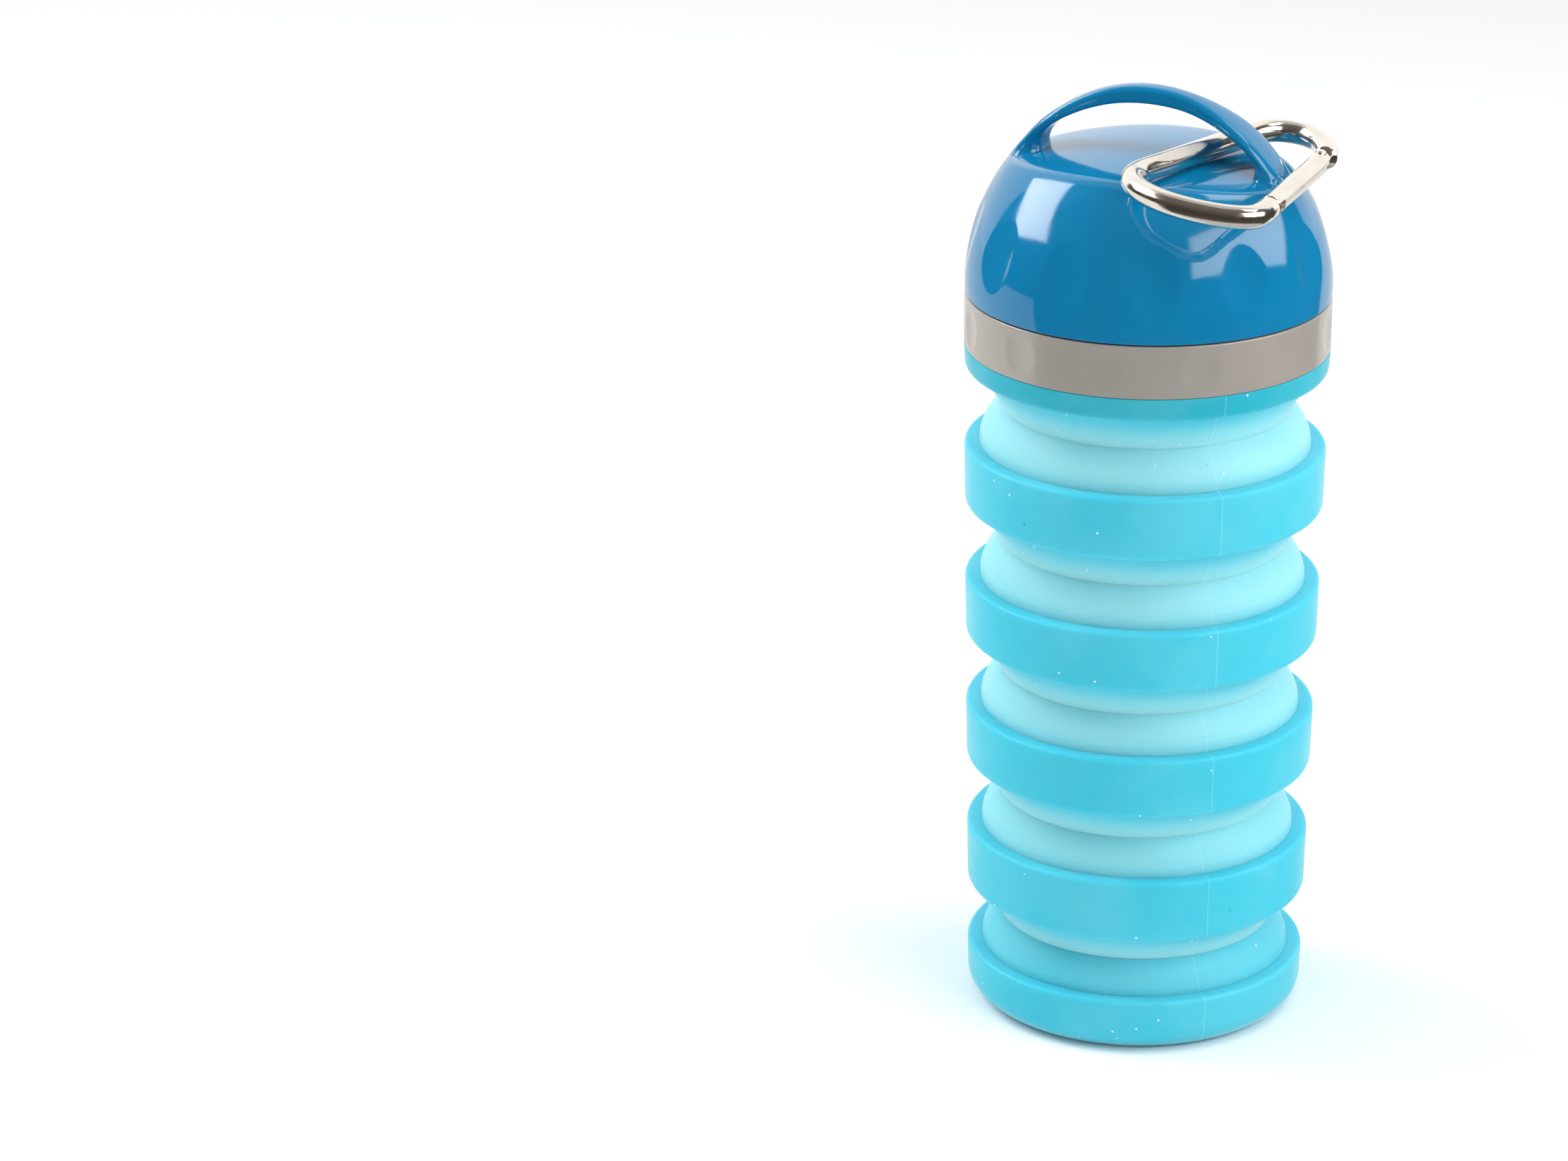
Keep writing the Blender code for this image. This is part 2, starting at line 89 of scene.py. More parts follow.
# %% Outline helpers
def rounded(corners, looped=True, steps=6):
    """Each corner (r, z, cut) becomes a parabola: (1-t)^2 start + 2t(1-t) corner + t^2 end,
    where start and end lie on its two sides, cut millimetres away from it."""
    corners = np.array(corners, float)
    place, cut = corners[:, None, :2], corners[:, None, 2:]
    before, after = np.roll(place, 1, 0) - place, np.roll(place, -1, 0) - place
    start = place + before / np.linalg.norm(before, axis=2, keepdims=True) * cut
    end = place + after / np.linalg.norm(after, axis=2, keepdims=True) * cut
    t = np.linspace(0, 1, steps + 1)[None, :, None]
    outline = ((1 - t) ** 2 * start + 2 * t * (1 - t) * place + t ** 2 * end).reshape(-1, 2)
    closed = np.vstack([outline, outline[:1]]) if looped else outline
    gap = np.linalg.norm(np.diff(closed, axis=0), axis=1)
    kept = np.append(gap > SAME, not looped)
    return outline[kept[:len(outline)]]


def axis_to_axis(corners, steps=6):
    """A rounded outline whose two ends lie on the axis, exactly at radius 0, so that they become poles."""
    outline = rounded(corners, looped=False, steps=steps)
    outline[[0, -1], 0] = 0
    return outline


def spaced(outline, step, looped=True):
    """The same outline with its long stretches cut into equal pieces no longer than step."""
    ends = np.roll(outline, -1, 0) if looped else np.vstack([outline[1:], outline[-1:]])
    counts = np.maximum(1, np.ceil(np.linalg.norm(ends - outline, axis=1) / step)).astype(int)
    if not looped:
        counts[-1] = 1
    first = np.repeat(np.cumsum(counts) - counts, counts)
    share = ((np.arange(counts.sum()) - first) / np.repeat(counts, counts))[:, None]
    return np.repeat(outline, counts, 0) * (1 - share) + np.repeat(ends, counts, 0) * share


def around(outline, angles):
    """A turned skin: the point at row i and column j is (r_i cos a_j, r_i sin a_j, z_i)."""
    r, z = outline[..., 0], outline[..., 1]
    if r.ndim == 1:
        r, z = r[:, None], z[:, None]
    flat = np.broadcast_to(z, np.broadcast_shapes(z.shape, (1, len(angles))))
    return np.stack([r * np.cos(angles), r * np.sin(angles), flat], -1)


print("a rounded square has", len(rounded([(0, 0, 1), (9, 0, 1), (9, 9, 1), (0, 9, 1)])), "points")

# %% [markdown]
# ## From a grid of points to a mesh
# A grid of rows and columns closes round its columns. Its rows either come back to the first one, as on a
# ring, or shrink to a single point, a pole, at both ends, as on a cap. Both give a shell without holes.
# Which way the faces point is settled by the sign of the volume that they enclose, so it is never a guess.

# %% Mesh and placing helpers
def grid_mesh(name, points, looped, marks):
    """Faces join (row, column) to its neighbours. A row whose points coincide is merged to a pole.
    The volume is the sum of v0 . (v1 x v2) / 6 over all triangles; if it is negative the faces turn."""
    rows, columns = points.shape[:2]
    number = np.arange(rows * columns).reshape(rows, columns)
    pole = np.ptp(points, axis=1).max(axis=1) < SAME
    number[pole] = number[pole][:, :1]
    if looped:
        number = np.vstack([number, number[:1]])
    near, far = number[:-1], number[1:]
    quads = np.stack([near, np.roll(near, -1, 1), np.roll(far, -1, 1), far], -1).reshape(-1, 4)
    kept, quads = np.unique(quads, return_inverse=True)
    quads = quads.reshape(-1, 4)
    places = points.reshape(-1, 3)[kept] * MM
    corner = places[quads]
    halves = [(0, 1, 2), (0, 2, 3)]
    volume = sum(np.einsum("ij,ij->", corner[:, a], np.cross(corner[:, b], corner[:, c]))
                 for a, b, c in halves)
    top, bottom = quads[:, 0] == quads[:, 1], quads[:, 2] == quads[:, 3]
    groups = [quads[~(top | bottom)], quads[top][:, [0, 2, 3]], quads[bottom][:, :3]]
    turn = -1 if volume < 0 else 1
    mesh = bpy.data.meshes.new(name)
    mesh.from_pydata(places.tolist(), [], [f for g in groups for f in g[:, ::turn].tolist()])
    for mark, values in marks.items():
        full = np.broadcast_to(values, (rows, columns)).reshape(-1)[kept]
        mesh.attributes.new(mark, "FLOAT", "POINT").data.foreach_set("value", full.astype(np.float32))
    mesh.shade_smooth()
    return mesh


def piece(name, points, material, slot, looped=True, **marks):
    """A named object at the origin, in the scene, with its material. The slot is not used."""
    made = bpy.data.objects.new(name, grid_mesh(name, points, looped, marks))
    made.data.materials.append(material)
    bpy.context.scene.collection.objects.link(made)
    print(f"{name}: {len(made.data.vertices)} points")
    return made


def ride_for(made, node):
    """The piece stands for one CAD node and moves with that node's body."""
    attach(made, frame["nodes"][node]["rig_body"])
    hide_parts(node)


def smooth_step(x, low, high):
    """0 below low, 1 above high, and 3t^2 - 2t^3 between them."""
    t = np.clip((x - low) / (high - low), 0, 1)
    return t * t * (3 - 2 * t)


print("smooth step a quarter of the way:", smooth_step(0.25, 0, 1))

# %% [markdown]
# ## Node helpers
# A real surface is never one flat colour. Each material below starts from one colour and adds what the
# real one has at its own small scale: haze in the silicone, orange peel in the gloss, fine rubbing on metal.
# All patterns read Object coordinates. Every finished piece sits at the origin, so the patterns run on from
# one piece to the next, and they move with the piece in a pose.

# %% A small kit for materials
def new_material(name, colour, roughness, **sockets):
    """A Principled material; uniform values go straight on to the shader's own sockets."""
    material = bpy.data.materials.new(name)
    material.use_nodes = True
    shader = material.node_tree.nodes["Principled BSDF"]
    shader.inputs["Base Color"].default_value = (*colour, 1)
    shader.inputs["Roughness"].default_value = roughness
    for socket, value in sockets.items():
        shader.inputs[socket.replace("_", " ")].default_value = value
    print(f"material {name}: colour {colour}, roughness {roughness}")
    return material, material.node_tree, shader


def node(tree, kind, inputs=(), **settings):
    """Adds a node, sets its fields, and fills or links its inputs by name or number."""
    made = tree.nodes.new(kind)
    for field, value in settings.items():
        setattr(made, field, value)
    for key, value in dict(inputs).items():
        if isinstance(value, bpy.types.NodeSocket):
            tree.links.new(value, made.inputs[key])
        else:
            made.inputs[key].default_value = value
    return made


def object_place(tree):
    """The Object coordinates of the shaded point, in metres."""
    return node(tree, "ShaderNodeTexCoord").outputs["Object"]


def mark(tree, name):
    """The value that the mesh carries under this name at the shaded point."""
    return node(tree, "ShaderNodeAttribute", attribute_name=name).outputs["Fac"]


def maths(tree, operation, *values):
    """One Math node; its values are numbers or sockets."""
    return node(tree, "ShaderNodeMath", dict(enumerate(values)), operation=operation).outputs[0]


def noise(tree, scale, detail=3.0, stretch=(1, 1, 1)):
    """Noise on Object coordinates, with its scale in patches per metre."""
    place = object_place(tree)
    if stretch != (1, 1, 1):
        place = node(tree, "ShaderNodeMapping", {"Vector": place, "Scale": stretch}).outputs[0]
    made = node(tree, "ShaderNodeTexNoise", {"Vector": place, "Scale": scale, "Detail": detail})
    return made.outputs["Fac"]


def ranged(tree, value, low, high, to_low, to_high):
    """Maps a range of values smoothly on to another one, and holds it at both ends."""
    return node(tree, "ShaderNodeMapRange", {0: value, 1: low, 2: high, 3: to_low, 4: to_high},
                interpolation_type="SMOOTHSTEP").outputs[0]


def mixed(tree, share, first, second):
    """A colour between two others; each may be a socket or (r, g, b)."""
    def full(c):
        return c if isinstance(c, bpy.types.NodeSocket) else (*c, 1)
    return node(tree, "ShaderNodeMix", {0: share, 6: full(first), 7: full(second)},
                data_type="RGBA").outputs[2]


def bumped(tree, shader, height, distance, strength=1.0):
    """Feeds a height into the shader's normal; distance is in metres."""
    made = node(tree, "ShaderNodeBump", {"Height": height, "Distance": distance, "Strength": strength})
    tree.links.new(made.outputs["Normal"], shader.inputs["Normal"])


def specks(tree, spacing, size, share):
    """1 in small round dots and 0 elsewhere: a dot is where the distance to a cell's seed is under size,
    in the share of cells that is asked for. Spacing and size are in metres."""
    cells = node(tree, "ShaderNodeTexVoronoi", {"Vector": object_place(tree), "Scale": 1 / spacing})
    dot = ranged(tree, cells.outputs["Distance"], 0.5 * size / spacing, size / spacing, 1.0, 0.0)
    pick = node(tree, "ShaderNodeSeparateColor", {"Color": cells.outputs["Color"]}).outputs["Red"]
    chosen = ranged(tree, pick, share, share + 0.01, 1.0, 0.0)
    return maths(tree, "MULTIPLY", dot, chosen)


# %% [markdown]
# ## Silicone
# Translucent cyan silicone looks saturated where it is thick and pale where light comes through a thin
# wall. A full light simulation of a hollow body would be slow and noisy, so each mesh carries an attribute
# called thin, and the material mixes a thick and a thin colour by it. A second one, deep, is painted
# shade: it makes the hoop under the collar and cap darker. A little subsurface scattering softens the
# shading, the surface is satin, and lint clings to it as tiny pale and dark specks.

# %% Silicone material
THICK_CYAN = (0.050, 0.562, 0.712)
THIN_CYAN = (0.320, 0.745, 0.815)
# Painted shade: the colour of the neck hoop where the collar and cap shade it.
COLLAR_SHADE_CYAN = (0.004, 0.410, 0.530)
HAZE_CYAN = (0.45, 0.86, 0.92)
LINE_CYAN = (0.62, 0.90, 0.95)
PALE_LINT, DARK_LINT, LINT_SIZE = (0.85, 0.95, 0.97), (0.02, 0.16, 0.22), 0.00030
MOULD_LINE = radians(-44)       # where the two halves of the silicone mould met, and opposite it
LINE_EDGE = (0.00005, 0.00020)  # the line's colour fades between these distances, in metres


def silicone_material(name):
    """Base colour goes from thick to thin, or to a painted shade under the collar, by marks, with haze, lint
    and the mould line.
    The line is where the point's distance from the mould's plane, |place . normal|, is small."""
    material, tree, shader = new_material(name, THICK_CYAN, 0.5, Subsurface_Weight=0.35,
                                          Subsurface_Scale=0.002, Specular_IOR_Level=0.26,
                                          Sheen_Weight=0.42, Sheen_Roughness=0.30)
    shader.inputs["Subsurface Radius"].default_value = (0.5, 1.0, 1.2)
    colour = mixed(tree, mark(tree, "thin"), THICK_CYAN, THIN_CYAN)
    # Painted shade under the collar and cap, darkening the neck hoop.
    colour = mixed(tree, mark(tree, "deep"), colour, COLLAR_SHADE_CYAN)
    haze = ranged(tree, noise(tree, 45, 4), 0.35, 0.7, 0.0, 0.10)
    colour = mixed(tree, haze, colour, HAZE_CYAN)
    normal = (np.sin(MOULD_LINE), -np.cos(MOULD_LINE), 0)
    across = node(tree, "ShaderNodeVectorMath", {0: object_place(tree), 1: normal},
                  operation="DOT_PRODUCT").outputs["Value"]
    line = ranged(tree, maths(tree, "ABSOLUTE", across), *LINE_EDGE, 0.14, 0.0)
    colour = mixed(tree, line, colour, LINE_CYAN)
    colour = mixed(tree, specks(tree, 0.0042, LINT_SIZE, 0.32), colour, PALE_LINT)
    colour = mixed(tree, specks(tree, 0.0070, LINT_SIZE, 0.25), colour, DARK_LINT)
    tree.links.new(colour, shader.inputs["Base Color"])
    tree.links.new(ranged(tree, noise(tree, 120, 4), 0.3, 0.7, 0.44, 0.56), shader.inputs["Roughness"])
    bumped(tree, shader, noise(tree, 900, 3), 0.00004)
    return material


silicone = silicone_material("silicone")
silicone_fold = silicone_material("silicone_fold")

# %% [markdown]
# ## The silicone hoops
# Between the folds the silicone is thick and forms stiff hoops: a nearly upright outer face, a flat ledge
# on top, and a tapered half fold underneath that runs in to the waist. Each hoop moves on its own as the
# bottle is pressed flat, so each is one piece. Its sizes are read from the frame: the ledge is the top of
# the CAD hoop, the waist is its bottom, and the lower edge lies as far over the waist as the ledge of the
# next hoop lies under it. The mould line is a real ridge, so the columns are closer together beside it.

# %% Sizes of the bellows
HOOPS = ["base_cup", "hoop_e", "hoop_d", "hoop_c", "hoop_b", "neck_hoop"]
LEDGE = 3.2                     # from a hoop's outer face in to the foot of the fold, in millimetres
WAIST_SHARE = 0.80              # the waist's radius over the hoop's
DRAFT = 0.3                     # a hoop's lower edge is this much smaller in radius
SKIN = 1.3                      # thickness of the folds' wall, measured level


def measured(name):
    """Lowest height, highest height and radius of a CAD node, in millimetres."""
    low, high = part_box(name)
    return low.z / MM, high.z / MM, high.x / MM


ledges = {name: measured(name)[1] for name in HOOPS[:-1]}
radii = {name: measured(name)[2] for name in HOOPS}
waists = {upper: measured(upper)[0] for upper in HOOPS[1:]}
bottoms = {upper: 2 * waists[upper] - ledges[lower] for lower, upper in zip(HOOPS, HOOPS[1:])}
waist_radii = {name: WAIST_SHARE * (radii[name] - DRAFT) for name in HOOPS[1:]}
print("hoop undersides:", {k: round(v, 1) for k, v in bottoms.items()})

# %% Columns and mould line
BESIDE_LINE = (-0.9, -0.6, -0.3, 0, 0.3, 0.6, 0.9)      # degrees from a mould line


def columns(count, lines=()):
    """Even angles round the axis, with a few more close to each mould line."""
    even = np.arange(count) * 2 * pi / count
    near = np.array([line + radians(d) for line in lines for d in BESIDE_LINE])
    return np.unique(np.round(np.concatenate([even, near % (2 * pi)]), 5))


LINE_WIDTH, LINE_FROM = 0.20, 20    # the ridge's half width, and the radius within which there is none
SILICONE_STEP = 0.9             # longest gap between two rows of a silicone skin
silicone_columns = columns(288, (MOULD_LINE, MOULD_LINE + pi))


def silicone_skin(outline, ridge=0.10):
    """A turned skin with a ridge along the mould lines: r + ridge * exp(-(r * sin(a - line) / width)^2)."""
    points = around(outline, silicone_columns)
    r = np.linalg.norm(points[..., :2], axis=-1)
    off = np.sin(silicone_columns[None, :] - MOULD_LINE) * r
    lift = ridge * np.exp(-(off / LINE_WIDTH) ** 2) * (r > LINE_FROM)
    points[..., :2] *= (1 + lift / np.maximum(r, 1.0))[..., None]
    return points


print("columns round the silicone:", len(silicone_columns))

# %% Hoops b to e
def half_fold(name):
    """Corners from a hoop's lower outer edge in to the soft lip at the waist and back up inside."""
    lower = radii[name] - DRAFT
    root = lower - LEDGE
    waist_z, waist_r, bottom = waists[name], waist_radii[name], bottoms[name]
    return [(lower, bottom + 0.1, 1.5), (root, bottom + 0.1, 1.0),
            (waist_r + 0.35, waist_z + 0.9, 0.5), (waist_r + 0.12, waist_z, 0.25),
            (waist_r - SKIN, waist_z, 0.3), (root - SKIN, bottom + 1.2, 1.0)]


def thinness(outline, name):
    """0 on the thick band, rising to 1 from the hoop's underside down to the waist."""
    return smooth_step(-outline[:, 1], -bottoms[name] - 0.3, -waists[name] - 0.5)[:, None]


def build_hoop(name):
    """From the ledge's inner edge out and down the band, in under it, and back up inside."""
    outer = radii[name]
    corners = [(outer - LEDGE, ledges[name], 0.1), (outer, ledges[name], 1.1)]
    corners += half_fold(name) + [(outer - LEDGE - 0.4, bottoms[name] + 4.0, 1.0)]
    outline = spaced(rounded(corners), SILICONE_STEP)
    made = piece(f"silicone_{name}", silicone_skin(outline), silicone, "silicone",
                 thin=thinness(outline, name))
    ride_for(made, name)


for name in HOOPS[1:-1]:
    build_hoop(name)

# %% [markdown]
# ## The base cup and the neck hoop
# The base is the bottom of the same moulding: a cup with a big round corner, a thick floor and a shallow
# groove underneath that keeps it steady on a table. Its outline runs from the axis to the axis, so both
# ends are poles. The neck hoop has no ledge: a flange rises from it, and the rigid neck clamps that flange.

# %% Base cup and neck hoop
COLLAR_SEAM = 0.06              # the collar sits this far over the neck hoop


def build_base():
    """From the axis over the floor, up inside, over the ledge, down the cup, and back underneath."""
    outer, ledge, floor = radii["base_cup"], ledges["base_cup"], 2.6
    lower = outer - 0.2
    corners = [(0, floor, 0), (outer - LEDGE, floor, 4.0), (outer - LEDGE, ledge, 0.1), (outer, ledge, 1.1),
               (lower, 5.0, 0.5), (lower - 0.5, 2.9, 1.2), (lower - 2.9, 0.5, 1.2), (lower - 6.5, 0.0, 1.5),
               (24, 0, 0.3), (23.2, 0.7, 0.3), (20.8, 0.7, 0.3), (20, 0, 0.3), (0, 0, 0)]
    skin = silicone_skin(spaced(axis_to_axis(corners), SILICONE_STEP, looped=False))
    ride_for(piece("silicone_base", skin, silicone, "silicone", looped=False, thin=0.0), "base_cup")


def build_neck_hoop():
    """From the flange's inner edge out and down round it, out under the collar, and down like a hoop."""
    name = "neck_hoop"
    top = measured("collar_ring")[0] - COLLAR_SEAM
    bore, stem, flange = 31.0, 32.8, 34.6
    flange_low, flange_top = 147.6, measured(name)[1]
    corners = [(bore, flange_top, 0.3), (flange, flange_top, 0.3), (flange, flange_low, 0.2),
               (stem, flange_low, 0.2), (stem, top, 0.1), (radii[name], top, 0.35)]
    corners += half_fold(name) + [(bore, bottoms[name] + 3.4, 0.5)]
    outline = spaced(rounded(corners), SILICONE_STEP)
    # Painted shade under the collar and cap: 1 on the hoop's band, fading out below its underside.
    deep = smooth_step(outline[:, 1], bottoms[name] - 1.2, bottoms[name] + 1.5)[:, None]
    made = piece("silicone_neck_hoop", silicone_skin(outline), silicone, "silicone",
                 thin=thinness(outline, name), deep=deep)
    ride_for(made, name)


build_base()
build_neck_hoop()

# %% [markdown]
# ## The folds
# The cone rises steeply from the ledge and leans in towards the waist, with one faint step where the mould's
# inserts met.

# %% Fold cones
FOOT_SUNK, WAIST_SUNK = 0.25, 0.5       # how far a fold's ends reach down and up into its hoops
FOOT_OUT, WAIST_IN = 0.05, 0.12         # and how far they lie off the hoops' own edges in radius
PAINTED_LIGHT_PER_FOLD = {1: 1.0, 2: 0.95, 3: 0.90, 4: 0.80, 5: 0.22}     # painted light through the wall: paler upper folds, darker lower ones, the lowest much darker


def fold_outline(foot_r, foot_z, waist_r, waist_z):
    """Radius falls from foot to waist by share^2.4, with a shallow step at a third of the height, and
    the way back down lies one skin further in."""
    share = np.linspace(0, 1, 26)
    radius = foot_r - (foot_r - waist_r) * share ** 2.4
    radius -= 0.16 * smooth_step(share, 0.30, 0.36) * (1 - share)
    height = foot_z + (waist_z - foot_z) * share
    outside = np.stack([radius, height], 1)
    inside = outside[::-1] - (SKIN, 0)
    return np.vstack([outside, inside]), np.concatenate([share, share[::-1]])


def build_fold(number, lower, upper):
    """A fold from one hoop's ledge to the waist of the next."""
    foot_z, waist_z = ledges[lower] - FOOT_SUNK, waists[upper] + WAIST_SUNK
    foot_r, waist_r = radii[lower] - LEDGE + FOOT_OUT, waist_radii[upper] - WAIST_IN
    outline, share = fold_outline(foot_r, foot_z, waist_r, waist_z)
    # Painted light through the wall: each fold takes more of the thin colour towards its waist.
    thin = (0.72 + 0.28 * smooth_step(share, 0.0, 0.5))[:, None] * PAINTED_LIGHT_PER_FOLD[number]
    made = piece(f"silicone_fold_{number}", silicone_skin(outline, ridge=0.03), silicone_fold,
                 "silicone_web", thin=thin)
    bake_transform(made)
    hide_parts(f"fold_web_{number}")


for i, (lower, upper) in enumerate(zip(HOOPS, HOOPS[1:])):
    build_fold(5 - i, lower, upper)

# %% [markdown]
# ## Hard plastic
# The cap is glossy blue plastic: a clean deep colour, a mirror-like skin with a trace of orange peel from
# the mould, long faint rubs and a little dust. The collar is a warm grey with a pearly, slightly softer gloss.
# The neck and the cap's liner are plain white, and the gasket is clear milky silicone.

# %% Plastic materials
CAP_BLUE = (0.003, 0.186, 0.384)
CAP_DRIFT = ((0.0026, 0.178, 0.370), (0.0034, 0.196, 0.400))
DUST, DUST_SIZE = (0.25, 0.42, 0.55), 0.00014
PARTING_BLUE = (0.002, 0.06, 0.14)
PARTING_FROM = (0.1849, 0.1853) # from these heights up the cap's mould left a fine line, in metres
PARTING_EDGE = (0.00006, 0.00018)       # its colour fades between these distances, in metres


def cap_material():
    """Glossy blue, with slow drifts in colour, dust, orange peel, and a parting line where |y| is small
    and the height is over PARTING_FROM."""
    material, tree, shader = new_material("cap_blue", CAP_BLUE, 0.09, IOR=1.5,
                                          Coat_Weight=0.25, Coat_Roughness=0.05)
    cloud = ranged(tree, noise(tree, 30, 3), 0.3, 0.7, 0.0, 1.0)
    colour = mixed(tree, cloud, *CAP_DRIFT)
    colour = mixed(tree, specks(tree, 0.012, DUST_SIZE, 0.15), colour, DUST)
    place = node(tree, "ShaderNodeSeparateXYZ", {"Vector": object_place(tree)})
    inside = ranged(tree, place.outputs["Z"], *PARTING_FROM, 0.0, 0.45)
    line = ranged(tree, maths(tree, "ABSOLUTE", place.outputs["Y"]), *PARTING_EDGE, 1.0, 0.0)
    colour = mixed(tree, maths(tree, "MULTIPLY", line, inside), colour, PARTING_BLUE)
    tree.links.new(colour, shader.inputs["Base Color"])
    rubbed = ranged(tree, noise(tree, 220, 5, (1, 1, 0.25)), 0.45, 0.75, 0.07, 0.14)
    tree.links.new(rubbed, shader.inputs["Roughness"])
    bumped(tree, shader, noise(tree, 160, 2), 0.00002)
    return material


def plastic_material(name, colour, other, roughness, peel, **sockets):
    """A moulded plastic that drifts between two near colours, with a fine mould texture."""
    material, tree, shader = new_material(name, colour, roughness, **sockets)
    cloud = ranged(tree, noise(tree, 60, 3), 0.3, 0.7, 0.0, 1.0)
    tree.links.new(mixed(tree, cloud, colour, other), shader.inputs["Base Color"])
    rubbed = ranged(tree, noise(tree, 90, 3), 0.3, 0.7, roughness, roughness + 0.04)
    tree.links.new(rubbed, shader.inputs["Roughness"])
    bumped(tree, shader, noise(tree, 2500, 2), peel)
    return material


cap_blue = cap_material()
collar_pearl = plastic_material("collar_pearl", (0.366, 0.332, 0.300), (0.382, 0.347, 0.315), 0.22,
                                0.000002, Metallic=0.12, Coat_Weight=0.3, Coat_Roughness=0.12)
neck_white = plastic_material("neck_white", (0.76, 0.77, 0.77), (0.80, 0.80, 0.79), 0.38, 0.000004)
gasket_clear = plastic_material("gasket_clear", (0.62, 0.74, 0.76), (0.70, 0.79, 0.80), 0.42, 0.000006,
                                Subsurface_Weight=0.4, Subsurface_Scale=0.002)

# %% [markdown]
# ## Dimples
# Twelve finger dimples run round the cap and twelve smaller ones round the collar. A cutter with a ball nose
# leaves a bowl: deepest in the middle, with a soft edge. On the grid this is a height taken off along the
# normal, so no cutting is needed and the edges of the bowls stay clean.

# %% Dimples and normals
def outward(points, centre=(0, 0, 150)):
    """Unit normals: the cross product of the row and column differences, turned away from the centre."""
    down = np.gradient(points, axis=0)
    side = np.roll(points, -1, 1) - np.roll(points, 1, 1)
    normal = np.cross(down, side)
    normal /= np.maximum(np.linalg.norm(normal, axis=-1, keepdims=True), 1e-9)
    facing = np.sum(normal * (points - np.array(centre)), axis=-1, keepdims=True)
    return normal * np.sign(facing)


def bowls(points, count, phase, height, half_wide, half_tall, depth, soft=0.07):
    """Depth of the dimples at each point. With q = 1 - (across/half_wide)^2 - (up/half_tall)^2, it is
    depth * (q + sqrt(q^2 + soft^2)) / 2: depth * q inside, next to 0 outside, with a soft edge between."""
    angle = np.arctan2(points[..., 1], points[..., 0]) - phase
    turn = 2 * pi / count
    across = ((angle + turn / 2) % turn - turn / 2) * np.linalg.norm(points[..., :2], axis=-1)
    q = 1 - (across / half_wide) ** 2 - ((points[..., 2] - height) / half_tall) ** 2
    return (depth * (q + np.sqrt(q * q + soft * soft)) / 2)[..., None] * (q > -1)[..., None]


middle_of_one = bowls(np.array([35.0, 0.0, 160.0]), 12, 0.0, 160.0, 5.0, 5.0, 0.80)[0]
print("a bowl 0.8 mm deep takes off", middle_of_one.round(3), "mm in its middle")

# %% [markdown]
# ## The cap
# The cap is a half ball, a little higher along the handle than across it, standing on a short drum, and its
# top is cut by a gently crowned floor where fingers go under the handle. The rim between dome and floor is a
# narrow rounded edge. A boolean would leave a ragged rim to bevel. Here the radius of the rim is found for
# each angle first, rows are laid on both sides of it, and the two heights are joined by a smooth minimum.

# %% Dome and finger floor
cap_low, cap_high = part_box("cap_shell")
OUTER = cap_high.x / MM
SKIRT_BOTTOM, ARCH_TOP = cap_low.z / MM, cap_high.z / MM
DRUM_TOP = SKIRT_BOTTOM + 1.85  # the dome starts over a drum this high
FLOOR_CROWN = ARCH_TOP - 13.5   # fingers have this much height under the arch's outer line
FLOOR_ALONG, FLOOR_ACROSS = 236, 560    # twice the radii of the floor's crown
RISE_ACROSS, RISE_ALONG, RISE_AT_FEET = 33.7, 37.7, 2.6
cap_columns = columns(480)


def dome_height(r, angles):
    """Height of the dome: drum top + rise * sqrt(1 - (r / R)^2). The rise grows along X by |cos|^3,
    and by |cos|^10 close to the handle's feet, where the dome flows into the handle."""
    lean = np.abs(np.cos(angles))
    rise = RISE_ACROSS + (RISE_ALONG - RISE_ACROSS) * lean ** 3 + RISE_AT_FEET * lean ** 10
    return DRUM_TOP + rise * np.sqrt(np.clip(1 - (r / OUTER) ** 2, 0, 1))


def floor_height(r, angles):
    """Height of the finger floor: crown - x^2 / along - y^2 / across."""
    return FLOOR_CROWN - (r * np.cos(angles)) ** 2 / FLOOR_ALONG - (r * np.sin(angles)) ** 2 / FLOOR_ACROSS


def crown_height(r, angles, edge=0.55):
    """Smooth minimum of dome and floor: (a + b) / 2 - sqrt((a - b)^2 + edge^2) / 2."""
    a, b = dome_height(r, angles), floor_height(r, angles)
    return (a + b) / 2 - np.sqrt((a - b) ** 2 + edge ** 2) / 2


def rim_radius(angles):
    """Where dome and floor cross, by halving the interval forty times for all angles at once."""
    low, high = np.full(len(angles), 5.0), np.full(len(angles), OUTER - 0.01)
    for _ in range(40):
        middle = (low + high) / 2
        above = dome_height(middle, angles) > floor_height(middle, angles)
        low, high = np.where(above, middle, low), np.where(above, high, middle)
    return low


rim = rim_radius(cap_columns)
print("rim radius from", rim.min().round(1), "to", rim.max().round(1), "mm")

# %% Cap shell
FLOOR_ROWS, FLOOR_CROWDING = 61, 1.7    # a crowding over 1 puts the rows closer together at the rim
DOME_ROWS, DOME_CROWDING = 111, 1.25
CAP_BOWLS = dict(count=12, phase=radians(-7), height=169.4, half_wide=5.2, half_tall=7.4, depth=0.80)


